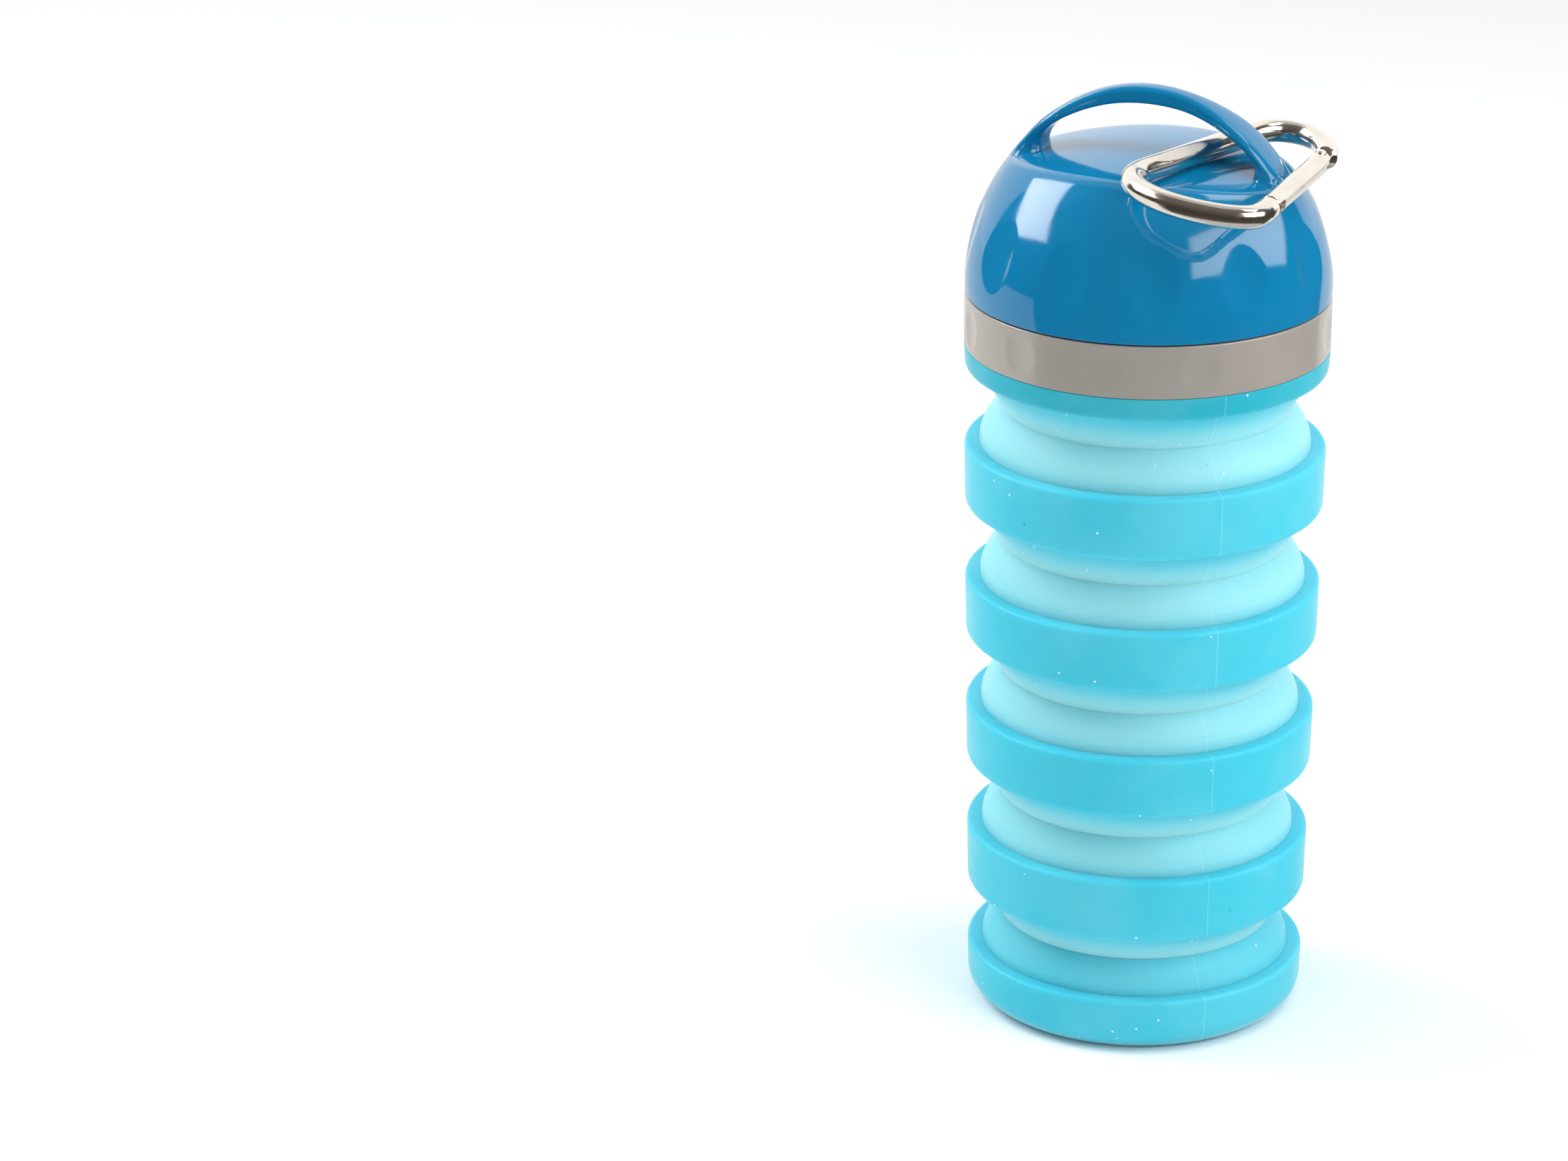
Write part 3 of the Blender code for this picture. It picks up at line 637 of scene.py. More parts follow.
def build_cap():
    """Rows run from the pole on the floor over the rim, down the dome, round the skirt and up inside."""
    floor_share = np.linspace(0, 1, FLOOR_ROWS)[:, None]
    dome_share = np.linspace(0, 1, DOME_ROWS)[1:, None]
    rim_turn = np.arcsin(rim / OUTER)
    floor_r = rim * (1 - (1 - floor_share) ** FLOOR_CROWDING)
    dome_r = OUTER * np.sin(rim_turn + (pi / 2 - rim_turn) * dome_share ** DOME_CROWDING)
    crown_r = np.vstack([floor_r, dome_r])
    crown = np.stack([crown_r, crown_height(crown_r, cap_columns)], -1)
    wall = [(OUTER, SKIRT_BOTTOM, 0.3), (35.6, SKIRT_BOTTOM, 0.2), (35.6, 162.0, 1.0), (35.2, 166.0, 1.0),
            (33.6, 171.0, 1.0), (31.4, 174.7, 1.0), (27.5, 177.8, 1.0), (22.0, 180.8, 1.0)]
    outline = np.vstack([rounded([(OUTER, DRUM_TOP, 0)] + wall + [(12, 183.6, 0)], looped=False)[1:],
                         [(0.0, 184.2)]])
    outline = spaced(outline, 0.9, looped=False)
    lower = np.repeat(outline[:, None, :], len(cap_columns), 1)
    skin = around(np.vstack([crown, lower]), cap_columns)
    dents = bowls(skin, **CAP_BOWLS)
    dents[len(crown):] = 0
    skin = skin - outward(skin) * dents
    ride_for(piece("cap_dome", skin, cap_blue, "cap", looped=False), "cap_shell")


build_cap()

# %% [markdown]
# ## The arch handle
# The handle is a flat bar bent in a half ellipse from one shoulder of the dome to the other. It is a rounded
# rectangle carried along that arch, wider towards its feet. It was moulded with the cap, so its feet flow
# into the floor: close to the cap each point moves out along its own normal by a fillet's formula.

# %% Handle bar
ARCH_SEAM = 157.6               # height of the arch's centre
ARCH_RISE = ARCH_TOP - ARCH_SEAM
INNER_REACH, INNER_SEAM, INNER_RISE, INNER_LEAD = 28.3, 178, 19.5, 1.19     # the arch's inner line
FOOT_X = 24.2                   # the inner line goes down to the floor at this distance from the axis
ARCH_END, ARCH_ROWS = 62, 249   # degrees from the crown to either foot, and rows between the feet
MERGE_FROM, MERGE_FULL = radians(36), radians(54)       # from the crown: where the dome takes it in
FILLET = 3.4                    # radius where the handle flows into the floor


def bar_section(side_points=5, arc_points=7):
    """A rounded rectangle as signs and unit arcs: a corner's centre lies at its signs, its arc round it."""
    quarter = np.linspace(0, pi / 2, arc_points)
    turns = np.concatenate([quarter + q * pi / 2 for q in range(4)])
    signs = np.repeat([(1, 1), (-1, 1), (-1, -1), (1, -1)], arc_points, 0)
    arcs = np.stack([np.cos(turns), np.sin(turns)], 1)
    after = np.roll(np.arange(len(arcs)), -1)
    flat = (signs[after] != signs).any(1)
    counts = np.where(flat, side_points, 1)
    start = np.repeat(np.arange(len(arcs)), counts)
    share = np.concatenate([np.arange(c) / c for c in counts])[:, None]
    return (signs[start] * (1 - share) + signs[after[start]] * share,
            arcs[start] * (1 - share) + arcs[after[start]] * share)


def arch_lines(turn):
    """Inner and outer line of the arch, its half width and its corner radius, by angle from the crown.
    Both are half ellipses (reach * sin, seam + rise * cos). The inner one runs ahead of the outer one,
    and x / (1 + (x / foot)^16)^(1/16) makes it drop straight down to the floor at its feet."""
    outer = np.stack([OUTER * np.sin(turn), ARCH_SEAM + ARCH_RISE * np.cos(turn)], -1)
    ahead = INNER_LEAD * turn
    inner = np.stack([INNER_REACH * np.sin(ahead), INNER_SEAM + INNER_RISE * np.cos(ahead)], -1)
    inner[:, 0] /= (1 + (inner[:, 0] / FOOT_X) ** 16) ** (1 / 16)
    reach = np.abs(outer[:, 0])
    half = 2.3 + 2.4 * smooth_step(reach, 6, 26)
    corner = 0.9 + 2.2 * smooth_step(reach, 19, 28)
    return inner, outer, half, corner


def build_handle():
    """The bar's section at each angle of the arch, with its outer face crowned by 0.3 * (side / half)^2,
    then lowered into the dome, filleted, and closed by a pole at both buried ends."""
    turn = radians(1) * np.linspace(-ARCH_END, ARCH_END, ARCH_ROWS)
    inner, outer, half, corner = (values[:, None] for values in arch_lines(turn))
    thick = np.linalg.norm(outer - inner, axis=-1)
    corner = np.minimum(corner, 0.42 * thick)
    middle, up = (inner + outer) / 2, (outer - inner) / thick[..., None]
    sign, arc = bar_section()
    side = sign[:, 0] * (half - corner) + arc[:, 0] * corner
    rise = sign[:, 1] * (thick / 2 - corner) + arc[:, 1] * corner
    crown = 0.3 * (side / half) ** 2 * (sign[:, 1] > 0)
    reach = middle + (rise - crown)[..., None] * up
    skin = merged_with_dome(np.stack([reach[..., 0], side, reach[..., 1]], -1), turn)
    skin = with_fillet(skin, FILLET)
    ends = [np.repeat(skin[i].mean(0)[None, None], len(sign), 1) for i in (0, -1)]
    made = piece("cap_handle", np.concatenate([ends[0], skin, ends[1]]), cap_blue, "cap", looped=False)
    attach(made, "cap")


def merged_with_dome(skin, turn):
    """Lowers what stands over the dome's own surface, not at all near the crown of the arch, and fully
    at its feet."""
    r = np.minimum(np.linalg.norm(skin[..., :2], axis=-1), OUTER)
    over = skin[..., 2] - dome_height(r, np.arctan2(skin[..., 1], skin[..., 0])) + 0.12
    share = smooth_step(np.abs(turn), MERGE_FROM, MERGE_FULL)[:, None]
    lower = skin.copy()
    lower[..., 2] -= np.clip(over, 0, None) * share
    return lower


def with_fillet(skin, radius):
    """Moves points out by R - sqrt(R^2 - (R - h)^2), where h is the height over the cap's surface: less
    where the bar's face looks up or along the arch, and not at all deep under that surface."""
    r = np.linalg.norm(skin[..., :2], axis=-1)
    angles = np.arctan2(skin[..., 1], skin[..., 0])
    over = skin[..., 2] - crown_height(np.minimum(r, OUTER), angles)
    close = np.clip(radius - over, 0, radius)
    push = radius - np.sqrt(radius ** 2 - close ** 2)
    push *= smooth_step(over, -2.5, -0.5)
    centre_line = skin.mean(1)
    along = np.gradient(centre_line, axis=0)
    normal = np.cross(np.gradient(skin, axis=1), along[:, None, :])
    normal /= np.maximum(np.linalg.norm(normal, axis=-1, keepdims=True), 1e-9)
    normal *= np.sign(np.sum(normal * (skin - centre_line[:, None, :]), -1, keepdims=True))
    inside = np.clip(-normal[..., 2] + 0.35, 0, 1) * (0.4 + 0.6 * np.abs(normal[..., 1]))
    return skin + normal * (push * inside)[..., None]


build_handle()

# %% [markdown]
# ## The collar
# The collar is a separate ring that hides the clamped flange of the silicone. It is turned, with a narrow
# shadow gap against the cap above it, and carries its own row of round dimples between those of the cap.

# %% Collar ring
COLLAR_BOWLS = dict(count=12, phase=radians(-22), height=152.0, half_wide=4.0, half_tall=4.4, depth=0.50)


def build_collar():
    """Out over the top, down the outer face, and back up inside round a pocket for the flange."""
    low, top, outer = measured("collar_ring")
    bore, throat, pocket = 30.8, 33.2, 34.9
    pocket_low, pocket_top = 147.3, 151.0
    corners = [(bore, top, 0.1), (outer, top, 0.4), (outer, low, 0.3), (throat, low, 0.1),
               (throat, pocket_low, 0.1), (pocket, pocket_low, 0.1), (pocket, pocket_top, 0.1),
               (bore, pocket_top, 0.1)]
    skin = around(spaced(rounded(corners), 0.45), cap_columns)
    outer_face = (np.linalg.norm(skin[..., :2], axis=-1) > outer - 1.2)[..., None]
    skin = skin - outward(skin) * bowls(skin, **COLLAR_BOWLS) * outer_face
    ride_for(piece("collar", skin, collar_pearl, "collar"), "collar_ring")


build_collar()

# %% [markdown]
# ## Threads
# The neck and the liner inside the cap carry a coarse thread with two starts. A thread is a height that
# depends on how far a point lies from the nearest turn of the helix, so it too is a function of angle and
# height. A modelled screw thread would need a boolean; this one is part of the same skin.

# %% Neck, liner and gasket
THREAD_LEAD, THREAD_STARTS, THREAD_LOW = 8.0, 2, 159.8
THREAD_HALF, THREAD_FLANK = 0.85, 0.45  # half height of a turn at its root, and height of its flank
THREAD_STEP = 0.22              # longest gap between two rows of a threaded skin


def threaded(outline, angles, root, tip, phase):
    """Adds (tip - root) * clip((half - d) / flank, 0, 1) to the radius where it equals the root,
    with d the distance in height to the nearest turn. The ends of the thread fade out."""
    pitch = THREAD_LEAD / THREAD_STARTS
    height = outline[:, 1][:, None]
    turns = (height - THREAD_LOW) / pitch - (angles - phase)[None, :] / (2 * pi) * THREAD_STARTS
    distance = np.abs((turns + 0.5) % 1 - 0.5) * pitch
    ends = smooth_step(height, THREAD_LOW - 0.9, THREAD_LOW) * smooth_step(
        -height, -THREAD_LOW - THREAD_LEAD - 0.4, -THREAD_LOW - THREAD_LEAD + 0.5)
    ridge = (tip - root) * np.clip((THREAD_HALF - distance) / THREAD_FLANK, 0, 1) * ends
    on_root = (np.abs(outline[:, 0] - root) < 0.01)[:, None]
    radius = outline[:, 0][:, None] + ridge * on_root
    skin = around(outline, angles)
    skin[..., 0], skin[..., 1] = radius * np.cos(angles), radius * np.sin(angles)
    return skin


thread_columns = columns(180)


def build_neck():
    """Out over the mouth, down the threaded spout, out under the flange, and up the bore."""
    low, top, _ = measured("neck_insert")
    root, bore = 30.4, 27.5
    corners = [(bore, top, 0.5), (root, top, 0.9), (root, 151.2, 0.1), (30.6, 150.9, 0.1),
               (30.6, 144.1, 0.3), (31.7, 143.1, 0.3), (31.7, low, 0.2), (bore, low, 0.8)]
    skin = threaded(spaced(rounded(corners), THREAD_STEP), thread_columns, root, 31.7, 0.0)
    ride_for(piece("neck_spout", skin, neck_white, "neck"), "neck_insert")


def build_liner():
    """From the axis over the liner's top, down its outside, and up its threaded inside to the axis."""
    low, top, outer = measured("cap_liner")
    root = 32.4
    corners = [(0, top, 0), (31.0, top, 1.0), (33.2, 170.8, 1.0), (34.8, 165.8, 1.0), (outer, 161.8, 0.8),
               (outer, low, 0.4), (root + 0.3, low, 0.2), (root, low + 0.8, 0.2), (root, 170.0, 0.5),
               (31.3, 172.3, 0.5), (0, 172.3, 0)]
    outline = spaced(axis_to_axis(corners), THREAD_STEP, looped=False)
    skin = threaded(outline, thread_columns, root, 30.9, pi / 2)
    ride_for(piece("cap_liner_cup", skin, neck_white, "neck", looped=False), "cap_liner")


def build_gasket():
    """A flat ring with a narrower lip underneath, which the spout presses into."""
    low, top, outer = measured("cap_gasket")
    corners = [(27.7, top, 0.3), (outer, top, 0.3), (outer, low + 0.9, 0.3), (30.0, low, 0.5),
               (28.4, low, 0.5), (27.7, low + 0.9, 0.3)]
    skin = around(spaced(rounded(corners), 0.4), thread_columns)
    ride_for(piece("cap_seal", skin, gasket_clear, "gasket"), "cap_gasket")


for build in (build_neck, build_liner, build_gasket):
    build()

# %% [markdown]
# ## Metals
# The hook is nickel-plated steel wire. Plating is a mirror with a warm tint, broken by small dull rubs. The
# gate tube and the pressed flat on the wire's back are satin. Both could be one even metal, but real plating
# is never that clean: here the roughness varies with a fine noise, and an attribute adds to it on the flat.

# %% Metal materials
SATIN_ADDS = 0.28               # what the satin mark adds to the roughness where it is 1


def metal_material(name, colour, smooth, dull):
    """Metal whose roughness is satin * SATIN_ADDS + rubs, the rubs from smooth to dull by fine noise."""
    material, tree, shader = new_material(name, colour, smooth, Metallic=1.0)
    tint = ranged(tree, noise(tree, 120, 3), 0.3, 0.7, 0.0, 1.0)
    darker = tuple(c * 0.93 for c in colour)
    tree.links.new(mixed(tree, tint, colour, darker), shader.inputs["Base Color"])
    rubs = ranged(tree, noise(tree, 400, 4), 0.45, 0.75, smooth, dull)
    rough = maths(tree, "MULTIPLY_ADD", mark(tree, "satin"), SATIN_ADDS, rubs)
    tree.links.new(rough, shader.inputs["Roughness"])
    bumped(tree, shader, noise(tree, 2200, 3), 0.0000015)
    return material


nickel = metal_material("nickel", (0.93, 0.87, 0.79), 0.14, 0.22)
nickel_satin = metal_material("nickel_satin", (0.90, 0.85, 0.78), 0.22, 0.28)
spring_steel = metal_material("spring_steel", (0.56, 0.57, 0.58), 0.22, 0.34)

# %% [markdown]
# ## The snap hook's own axes
# The hook lies in a tilted plane. Its joints in the frame already hold that plane: it swings about its
# straight back, and its gate turns about the plane's normal. So the points of the wire are written along
# the back (u) and across to the gate (v), in millimetres from the middle of the back.

# %% Hook axes and curve helper
joints = {joint["name"]: joint for joint in frame["joints"]}


def unit(v):
    """v over its length."""
    return np.array(v, float) / np.linalg.norm(v)


ALONG = -unit(joints["carabiner_swing"]["axis"])
NORMAL = -unit(joints["gate_open"]["axis"])
ACROSS = np.cross(ALONG, NORMAL)
BACK = np.array(joints["carabiner_swing"]["pos_m"]) / MM
PIVOT = np.array(joints["gate_open"]["pos_m"]) / MM
PIVOT_UV = np.array([(PIVOT - BACK) @ ALONG, (PIVOT - BACK) @ ACROSS])
TIP_UV = np.array([-15.4, 29.6])        # where the gate's tip meets the wire's nose
GATE_LENGTH = np.linalg.norm(TIP_UV - PIVOT_UV)
GATE_WAY = (TIP_UV - PIVOT_UV) / GATE_LENGTH
print("gate length", GATE_LENGTH.round(2), "mm")


def smooth_curve(points, step):
    """A Catmull-Rom curve through the points, then points at equal steps along it."""
    points = np.array(points, float)
    full = np.vstack([2 * points[0] - points[1], points, 2 * points[-1] - points[-2]])
    t = np.linspace(0, 1, 24, endpoint=False)[:, None]
    a, b, c, d = (full[i:len(full) - 3 + i, None, :] for i in range(4))
    dense = 0.5 * (2 * b + (c - a) * t + (2 * a - 5 * b + 4 * c - d) * t ** 2
                   + (3 * b - a - 3 * c + d) * t ** 3)
    dense = np.vstack([dense.reshape(-1, points.shape[1]), points[-1:]])
    run = np.concatenate([[0], np.cumsum(np.linalg.norm(np.diff(dense, axis=0), axis=1))])
    even = np.linspace(0, run[-1], int(run[-1] / step) + 1)
    return np.stack([np.interp(even, run, dense[:, k]) for k in range(points.shape[1])], 1), even


def in_hook(u, v, w):
    """The point back + u * along + v * across + w * normal, in the frame's own axes."""
    return BACK + u[..., None] * ALONG + v[..., None] * ACROSS + w[..., None] * NORMAL

# %% [markdown]
# ## The wire
# One length of wire is bent round the back, and both of its ends are pressed flat to fit the gate's slots.
# It is a circle carried along a smooth curve. Flats are made the way a press makes them: the points of the
# circle that stand further out than the tool are held at the tool's height.

# %% Hook wire
WIRE_R, WIRE_SIDES = 2.4, 72
TONGUE_THICK, TONGUE_WIDE = 0.75, 1.4   # half sizes of the flat tongue at both ends of the wire
WIRE_POINTS = [(-19.4, 30.8), (-23.6, 30.8), (-27.0, 27.3), (-29.3, 21.3), (-30.0, 14.3), (-28.6, 7.7),
               (-25.2, 2.7), (-20.0, 0.1), (-10.0, 0.0), (0.0, 0.0), (10.0, 0.0), (19.5, 0.1),
               (24.6, 2.3), (26.8, 6.9), (25.4, 12.3), (22.0, 16.3)]
FLAT_MIDDLE, FLAT_HALF, FLAT_DEPTH = -7.0, 8.6, 0.36
FLAT_TURN = radians(32)         # the flat faces this far from the plane's normal, in to the hook
NOSE_TONGUE, PIVOT_TONGUE = 2.85, 4.75  # length of the tongue in the gate's tip and of that at its pivot
PRESS_RAMP, SHOULDER_RAMP = 0.25, 0.6   # over these lengths the wire grows from tongue to full size


def on_gate(length):
    """A point on the gate's axis, at a distance from its pivot."""
    return PIVOT_UV + GATE_WAY * length


def build_wire():
    """At each point of the curve, a circle, with both half sizes brought down to the tongue's near the
    ends, which lie on the gate's axis. On the back, what stands over a plane turned by FLAT_TURN is moved
    down on to that plane."""
    ends = [[on_gate(GATE_LENGTH - 2.6), on_gate(GATE_LENGTH + 0.33)], [on_gate(-3.4), on_gate(1.5)]]
    line, run = smooth_curve(ends[0] + WIRE_POINTS + ends[1], 0.3)
    way = np.gradient(line, axis=0)
    way /= np.linalg.norm(way, axis=1)[:, None]
    side = np.stack([-way[:, 1], way[:, 0]], 1)
    from_start, from_end = run, run[-1] - run
    tongue = np.minimum(smooth_step(from_start, NOSE_TONGUE, NOSE_TONGUE + PRESS_RAMP),
                        smooth_step(from_end, PIVOT_TONGUE, PIVOT_TONGUE + PRESS_RAMP))[:, None]
    tip = np.minimum(from_start, from_end)[:, None]
    nose = np.sqrt(np.clip(1 - (1 - np.clip(tip / 0.6, 0, 1)) ** 2, 0, 1))
    full_from = NOSE_TONGUE + PRESS_RAMP
    thin_end = 1 - smooth_step(from_start, full_from, full_from + SHOULDER_RAMP)[:, None]
    shoulder = 1 - 0.10 * np.minimum(thin_end, tongue)
    turn = np.arange(WIRE_SIDES) * 2 * pi / WIRE_SIDES
    v_half = (TONGUE_WIDE + (WIRE_R - TONGUE_WIDE) * tongue) * nose * shoulder
    w_half = (TONGUE_THICK + (WIRE_R - TONGUE_THICK) * tongue) * nose * shoulder
    v_off, w_off = v_half * np.cos(turn), WIRE_R * nose * shoulder * np.sin(turn)
    w_off = np.clip(w_off, -w_half, w_half)
    flat_way = (line[:, :1] - FLAT_MIDDLE) / FLAT_HALF
    on_back = np.abs(line[:, 1:]) < 0.6
    depth = np.where(on_back, FLAT_DEPTH * np.clip(1 - flat_way ** 2, 0, 1), 0.0)
    over = v_off * np.sin(FLAT_TURN) + w_off * np.cos(FLAT_TURN) - (WIRE_R - depth)
    satin = np.where(on_back, smooth_step(over, 0.0, 0.06), 0.0)
    v_off = v_off - np.clip(over, 0, None) * np.sin(FLAT_TURN)
    w_off = w_off - np.clip(over, 0, None) * np.cos(FLAT_TURN)
    u = line[:, :1] + v_off * side[:, :1]
    v = line[:, 1:] + v_off * side[:, 1:]
    made = piece("hook_wire", in_hook(u, v, w_off), nickel, "nickel", looped=False, satin=satin)
    ride_for(made, "carabiner_frame")


build_wire()

# %% [markdown]
# ## The gate
# The real gate is a tube with a slot at both ends for the wire's flat tongues, a rivet to turn on, and
# inside it a spring and a plunger that close it. The slots go right through, which a single grid can't show,
# so they are cut by boolean from a smooth rod, at once, and the cutters are thrown away. The rod isn't bored
# out: spring and plunger lie inside it, where nobody sees them.

# %% Gate, rivet, plunger and spring
GATE_R, GATE_LOW, SLOT_HALF = 2.25, -1.9, 1.05
RIVET_SIDES = 40


def from_gate(x, y, z):
    """The point pivot + x * normal + y * side + z * way, with the side across the gate in its plane and
    the way from the pivot to the tip."""
    way = GATE_WAY[0] * ALONG + GATE_WAY[1] * ACROSS
    side = np.cross(way, NORMAL)
    return PIVOT + x[..., None] * NORMAL + y[..., None] * side + z[..., None] * way


def rod_skin(outline, sides=48):
    """A turned skin about the gate's axis; the outline is (radius, distance from the pivot)."""
    turn = np.arange(sides) * 2 * pi / sides
    r, z = outline[:, :1], outline[:, 1:]
    return from_gate(r * np.cos(turn), r * np.sin(turn), np.broadcast_to(z, (len(outline), sides)))


def slot_block(low, high):
    """A box skin across the gate, closed by a pole in the middle of both its ends."""
    corners = np.array([(-SLOT_HALF, -4), (SLOT_HALF, -4), (SLOT_HALF, 4), (-SLOT_HALF, 4)], float)
    rows = np.array([low, low, high, high])
    scale = np.array([0.0, 1, 1, 0])[:, None]
    return from_gate(corners[None, :, 0] * scale, corners[None, :, 1] * scale,
                     np.broadcast_to(rows[:, None], (4, 4)))


def cut_slots(target, blocks):
    """Cuts each block out of the target's mesh for good."""
    for low, high in blocks:
        cutter = bpy.data.objects.new("cutter", grid_mesh("cutter", slot_block(low, high), False, {}))
        bpy.context.scene.collection.objects.link(cutter)
        cut = target.modifiers.new("slot", "BOOLEAN")
        cut.object, cut.operation, cut.solver = cutter, "DIFFERENCE", "EXACT"
        bpy.context.view_layer.update()
        done = bpy.data.meshes.new_from_object(target.evaluated_get(bpy.context.evaluated_depsgraph_get()))
        target.modifiers.clear()
        target.data = done
        bpy.data.objects.remove(cutter)
    target.data.set_sharp_from_angle(angle=radians(40))


def build_gate():
    """A turned rod with a round end at the pivot and a square one at the tip, slotted at both."""
    low, high = GATE_LOW, GATE_LENGTH
    corners = [(0, low, 0), (GATE_R, low, 1.7), (GATE_R, high, 0.35), (0, high, 0)]
    skin = rod_skin(spaced(axis_to_axis(corners, steps=8), 1.0, looped=False))
    made = piece("hook_gate", skin, nickel_satin, "nickel_satin", looped=False, satin=0.0)
    cut_slots(made, [(low - 3, 2.2), (high - 3.2, high + 3)])
    ride_for(made, "carabiner_gate")


def build_rivet():
    """A turned rivet about the plane's normal, with a domed head on both sides."""
    reach, head, pin_r, dome_r, head_r = GATE_R - 0.1, 0.55, 0.8, 0.75, 1.15
    half = [(0, reach + head, 0), (dome_r, reach + head, 0.4), (head_r, reach + 0.1, 0.25),
            (head_r, reach - 0.3, 0.1), (pin_r, reach - 0.3, 0.1)]
    outline = axis_to_axis(half + [(r, -x, cut) for r, x, cut in half[::-1]])
    turn = np.arange(RIVET_SIDES) * 2 * pi / RIVET_SIDES
    r, x = outline[:, :1], np.broadcast_to(outline[:, 1:], (len(outline), RIVET_SIDES))
    skin = from_gate(x, r * np.cos(turn), r * np.sin(turn))
    ride_for(piece("hook_rivet", skin, nickel, "nickel", looped=False, satin=0.1), "gate_rivet")


def build_plunger():
    """A turned pin inside the gate that presses on the wire's tongue."""
    corners = [(0, 2.5, 0), (1.1, 2.5, 0.5), (1.1, 6.5, 0.2), (0, 6.5, 0)]
    skin = rod_skin(axis_to_axis(corners), 24)
    ride_for(piece("hook_plunger", skin, spring_steel, "spring_steel", looped=False), "gate_plunger")


def build_spring():
    """A wire circle carried along a helix about the gate's axis: angle a, height low + share * length."""
    turns, coil, wire_r, low, high, sides = 5, 0.9, 0.22, 7.4, 20.6, 10
    a = np.linspace(0, 2 * pi * turns, 40 * turns)[:, None]
    t = np.arange(sides) * 2 * pi / sides
    thick = wire_r * np.sin(np.linspace(0, pi, len(a))[:, None]) ** 0.05
    radius = coil + thick * np.cos(t)
    z = low + (high - low) * a / a[-1] + thick * np.sin(t)
    skin = from_gate(radius * np.cos(a), radius * np.sin(a), z)
    ride_for(piece("hook_spring", skin, spring_steel, "spring_steel", looped=False), "gate_spring")


for build in (build_gate, build_rivet, build_plunger, build_spring):
    build()

# %% [markdown]
# ## Floor and screens
# The set is a sheet of white paper on the floor, in an even room. Far off, the paper gives off a little
# light of its own, which makes it paler there. Gloss shows what stands round it: dark cloths hang in front,
# where they keep the cap's blue deep and give the wire its dark lines, and bright ones hang behind. They
# could be real walls, but then they would also light the bottle. Here only reflections see them.

# %% Floor
CAMERA_SIDE = -69               # direction from the bottle to the camera, in degrees from +X
PAPER_HALF, PAPER_ROWS = 9, 61  # half the paper's side, in metres, and its rows of points
PAPER_GLOW, GLOW_FROM, GLOW_FULL = 0.5, 0.9, 3.5        # the last two are distances in metres


def stage_object(name, mesh, material):
    """Part of the set, not of the bottle."""
    made = bpy.data.objects.new(name, mesh)
    mesh.materials.append(material)
    bpy.context.scene.collection.objects.link(made)
    print(f"{name}: {len(mesh.vertices)} points")
    return made


def open_grid(name, points, glow):
    """An open sheet of points, with the light that each of them gives off."""
    number = np.arange(points.shape[0] * points.shape[1]).reshape(points.shape[:2])
    quads = np.stack([number[:-1, :-1], number[:-1, 1:], number[1:, 1:], number[1:, :-1]], -1)
    mesh = bpy.data.meshes.new(name)
    mesh.from_pydata(points.reshape(-1, 3).tolist(), [], quads.reshape(-1, 4).tolist())
    values = np.broadcast_to(glow, points.shape[:2]).reshape(-1).astype(np.float32)
    mesh.attributes.new("glow", "FLOAT", "POINT").data.foreach_set("value", values)
    return mesh


def glowing(name, colour, tint, roughness, specular):
    """A matt material that gives off light in a tint, as much as its glow attribute says."""
    material, tree, shader = new_material(name, colour, roughness, Specular_IOR_Level=specular,
                                          Emission_Color=(*tint, 1))
    tree.links.new(mark(tree, "glow"), shader.inputs["Emission Strength"])
    return material


side = np.linspace(-PAPER_HALF, PAPER_HALF, PAPER_ROWS)
x, y = np.meshgrid(side, side)
paper_glow = PAPER_GLOW * smooth_step(np.hypot(x, y), GLOW_FROM, GLOW_FULL)
paper = glowing("paper", (0.96, 0.96, 0.96), (1, 1, 1), 0.9, 0.1)
floor = stage_object("floor", open_grid("floor", np.stack([x, y, 0 * x], -1), paper_glow), paper)
floor.visible_glossy = False

# %% Screens
SCREEN_DISTANCE = 3.0
BLACK = (0, 0, 0)               # the cloths send back no light, they only glow
dark = glowing("dark_cloth", BLACK, (1.0, 0.88, 0.76), 1.0, 0.0)
bright = glowing("bright_cloth", BLACK, (1.0, 0.985, 0.96), 1.0, 0.0)
# Name, cloth, degrees from the camera's side, half spread, lowest and highest angle, glow at each of them.
SCREENS = [("front_above", dark, 0, 125, 0, 88, 0.05, 0.15),
           ("front_below", dark, 30, 104, -40, 0, 0.09, 0.05),
           ("back_above", bright, 180, 55, 0, 55, 1.15, 1.0),
           ("back_below", bright, 210, 76, -70, 0, 0.9, 0.95)]


def on_sphere(azimuth, elevation, distance):
    """distance * (cos e cos a, cos e sin a, sin e), with both angles given in degrees."""
    a, e = np.broadcast_arrays(np.radians(azimuth), np.radians(elevation))
    return distance * np.stack([np.cos(e) * np.cos(a), np.cos(e) * np.sin(a), np.sin(e)], -1)


def hung(name, mesh, material):
    """Something that only reflections see."""
    made = stage_object(name, mesh, material)
    for ray in ("camera", "diffuse", "shadow", "transmission", "volume_scatter"):
        setattr(made, f"visible_{ray}", False)


for name, material, turned_by, spread, lowest, highest, first, last in SCREENS:
    e = np.linspace(lowest, highest, 24)[:, None]
    a = CAMERA_SIDE + turned_by + np.linspace(-spread, spread, 48)[None, :]
    glow = first + (last - first) * smooth_step(e, lowest, highest)
    hung(name, open_grid(name, on_sphere(a, e, SCREEN_DISTANCE), glow), material)

# %% [markdown]
# ## Windows and room
# Three windows light the bottle, one on the left, one on the right and one higher up on the right, and a
# long soft light hangs over it. A softbox alone would do, but its reflection is a flat white card with hard
# edges. So each window is made twice: a softbox that no reflection sees, and a cloth that only reflections
# see, with a hot middle and soft edges. Both are given by the directions of their four corners.

# %% Windows and room
AIM = (0, 0, 0.17)              # the lights and their cloths stand round this point inside the cap
SOFT_EDGE = 0.07                # the cloth's edge fades over this share of its side


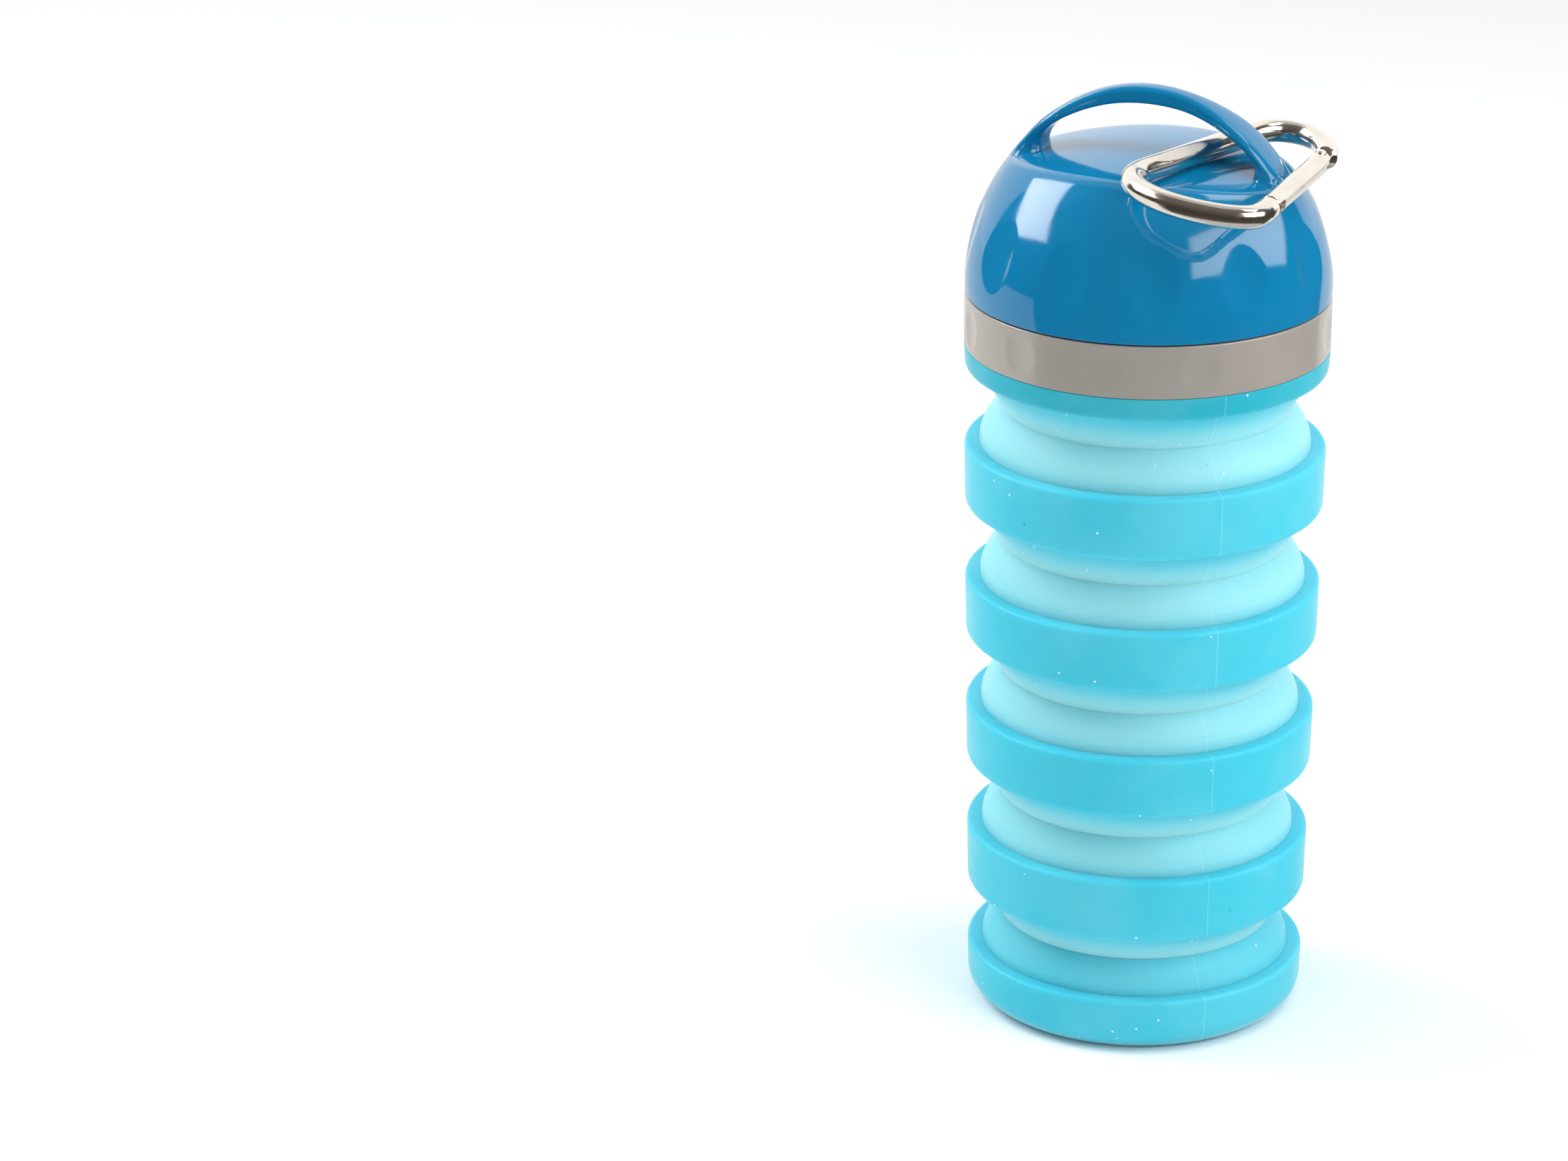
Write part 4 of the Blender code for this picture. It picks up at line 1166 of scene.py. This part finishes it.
def softbox(name, corners, distance, brightness):
    """A rectangular light whose four corners are seen from the aim in these directions, in degrees.
    Its power is its brightness times pi times its area. Reflections don't see it."""
    a, b, c, d = (Vector(on_sphere(*corner, distance)) for corner in corners)
    middle = (a + b + c + d) / 4
    across, up = (b - a + c - d) / 2, (a - d + b - c) / 2
    facing = middle.normalized()
    side = (across - facing * across.dot(facing)).normalized()
    light = bpy.data.lights.new(name, "AREA")
    light.shape, light.size, light.size_y = "RECTANGLE", across.length, up.length
    light.energy = brightness * pi * across.length * up.length
    made = bpy.data.objects.new(name, light)
    turned_so = Matrix((side, facing.cross(side), facing)).transposed().to_4x4()
    made.matrix_world = Matrix.Translation(middle + Vector(AIM)) @ turned_so
    made.visible_glossy = False
    bpy.context.scene.collection.objects.link(made)
    print(f"{name}: {light.energy:.1f} W from {light.size:.2f} by {light.size_y:.2f} m")


def window(name, corners, distance, brightness, seen):
    """A softbox for its light, and a cloth with a hot middle and soft edges for its reflection.
    The cloth's glow is seen * edge * (0.75 + 0.25 * middle), with u and v from 0 to 1 across it."""
    softbox(name, corners, distance, brightness)
    a, b, c, d = (on_sphere(*corner, distance) for corner in corners)
    u, v = np.meshgrid(np.linspace(0, 1, 40), np.linspace(0, 1, 40))
    u, v = u[..., None], v[..., None]
    points = (a * (1 - u) + b * u) * (1 - v) + (d * (1 - u) + c * u) * v + AIM
    edge = smooth_step(np.minimum(np.minimum(u, 1 - u), np.minimum(v, 1 - v))[..., 0], 0.0, SOFT_EDGE)
    middle = 1 - ((2 * u - 1) ** 2 + (2 * v - 1) ** 2)[..., 0] / 2
    hung(name + "_cloth", open_grid(name, points, seen * edge * (0.75 + 0.25 * middle)), bright)


window("left_window", [(160, 34), (165, 56), (213, 30), (185, 17)], 1.1, 7.4, 8.5)
window("right_window", [(-41, 52), (37, 24), (26, 4), (-44, 22)], 1.3, 2.9, 4.6)
window("high_window", [(60, 75), (0, 68), (15, 50), (45, 50)], 1.3, 3.2, 5.0)
softbox("overhead", [(-150, 60), (30, 60), (-10, 60), (-110, 60)], 1.4, 1.6)

ROOM_COLOUR, ROOM_LIGHT = (0.96, 0.98, 1.0), 0.54
world = bpy.data.worlds.new("room")
bpy.context.scene.world = world
world.use_nodes = True
room = world.node_tree.nodes["Background"].inputs
room["Color"].default_value = (*ROOM_COLOUR, 1)
room["Strength"].default_value = ROOM_LIGHT
bpy.context.scene.view_settings.view_transform = "Standard"
print("room light", ROOM_LIGHT)

# %% [markdown]
# ## Camera
# A long lens from over a metre away keeps upright lines nearly parallel. The camera could be aimed by a
# Track To constraint, but a place and three turns say the same and can be read off at once. It stands in
# front and a little to the right, looks down on the bottle, and is rolled by a fraction of a degree.

# %% Camera
CAMERA_PLACE = (0.3847, -1.0021, 0.4989)
CAMERA_TURN, CAMERA_DOWN, CAMERA_ROLL = 25.03, 20.74, -0.15     # degrees
LENS, SENSOR = 124.71, 36                                       # millimetres
camera_data = bpy.data.cameras.new("camera")
camera_data.lens = LENS
camera_data.sensor_width = SENSOR
camera = bpy.data.objects.new("camera", camera_data)
bpy.context.scene.collection.objects.link(camera)
camera.matrix_world = (Matrix.Translation(CAMERA_PLACE)
                       @ Matrix.Rotation(radians(CAMERA_TURN), 4, "Z")
                       @ Matrix.Rotation(radians(90 - CAMERA_DOWN), 4, "X")
                       @ Matrix.Rotation(radians(CAMERA_ROLL), 4, "Z"))
bpy.context.scene.camera = camera
print("camera at", CAMERA_PLACE, "with a lens of", LENS, "mm")
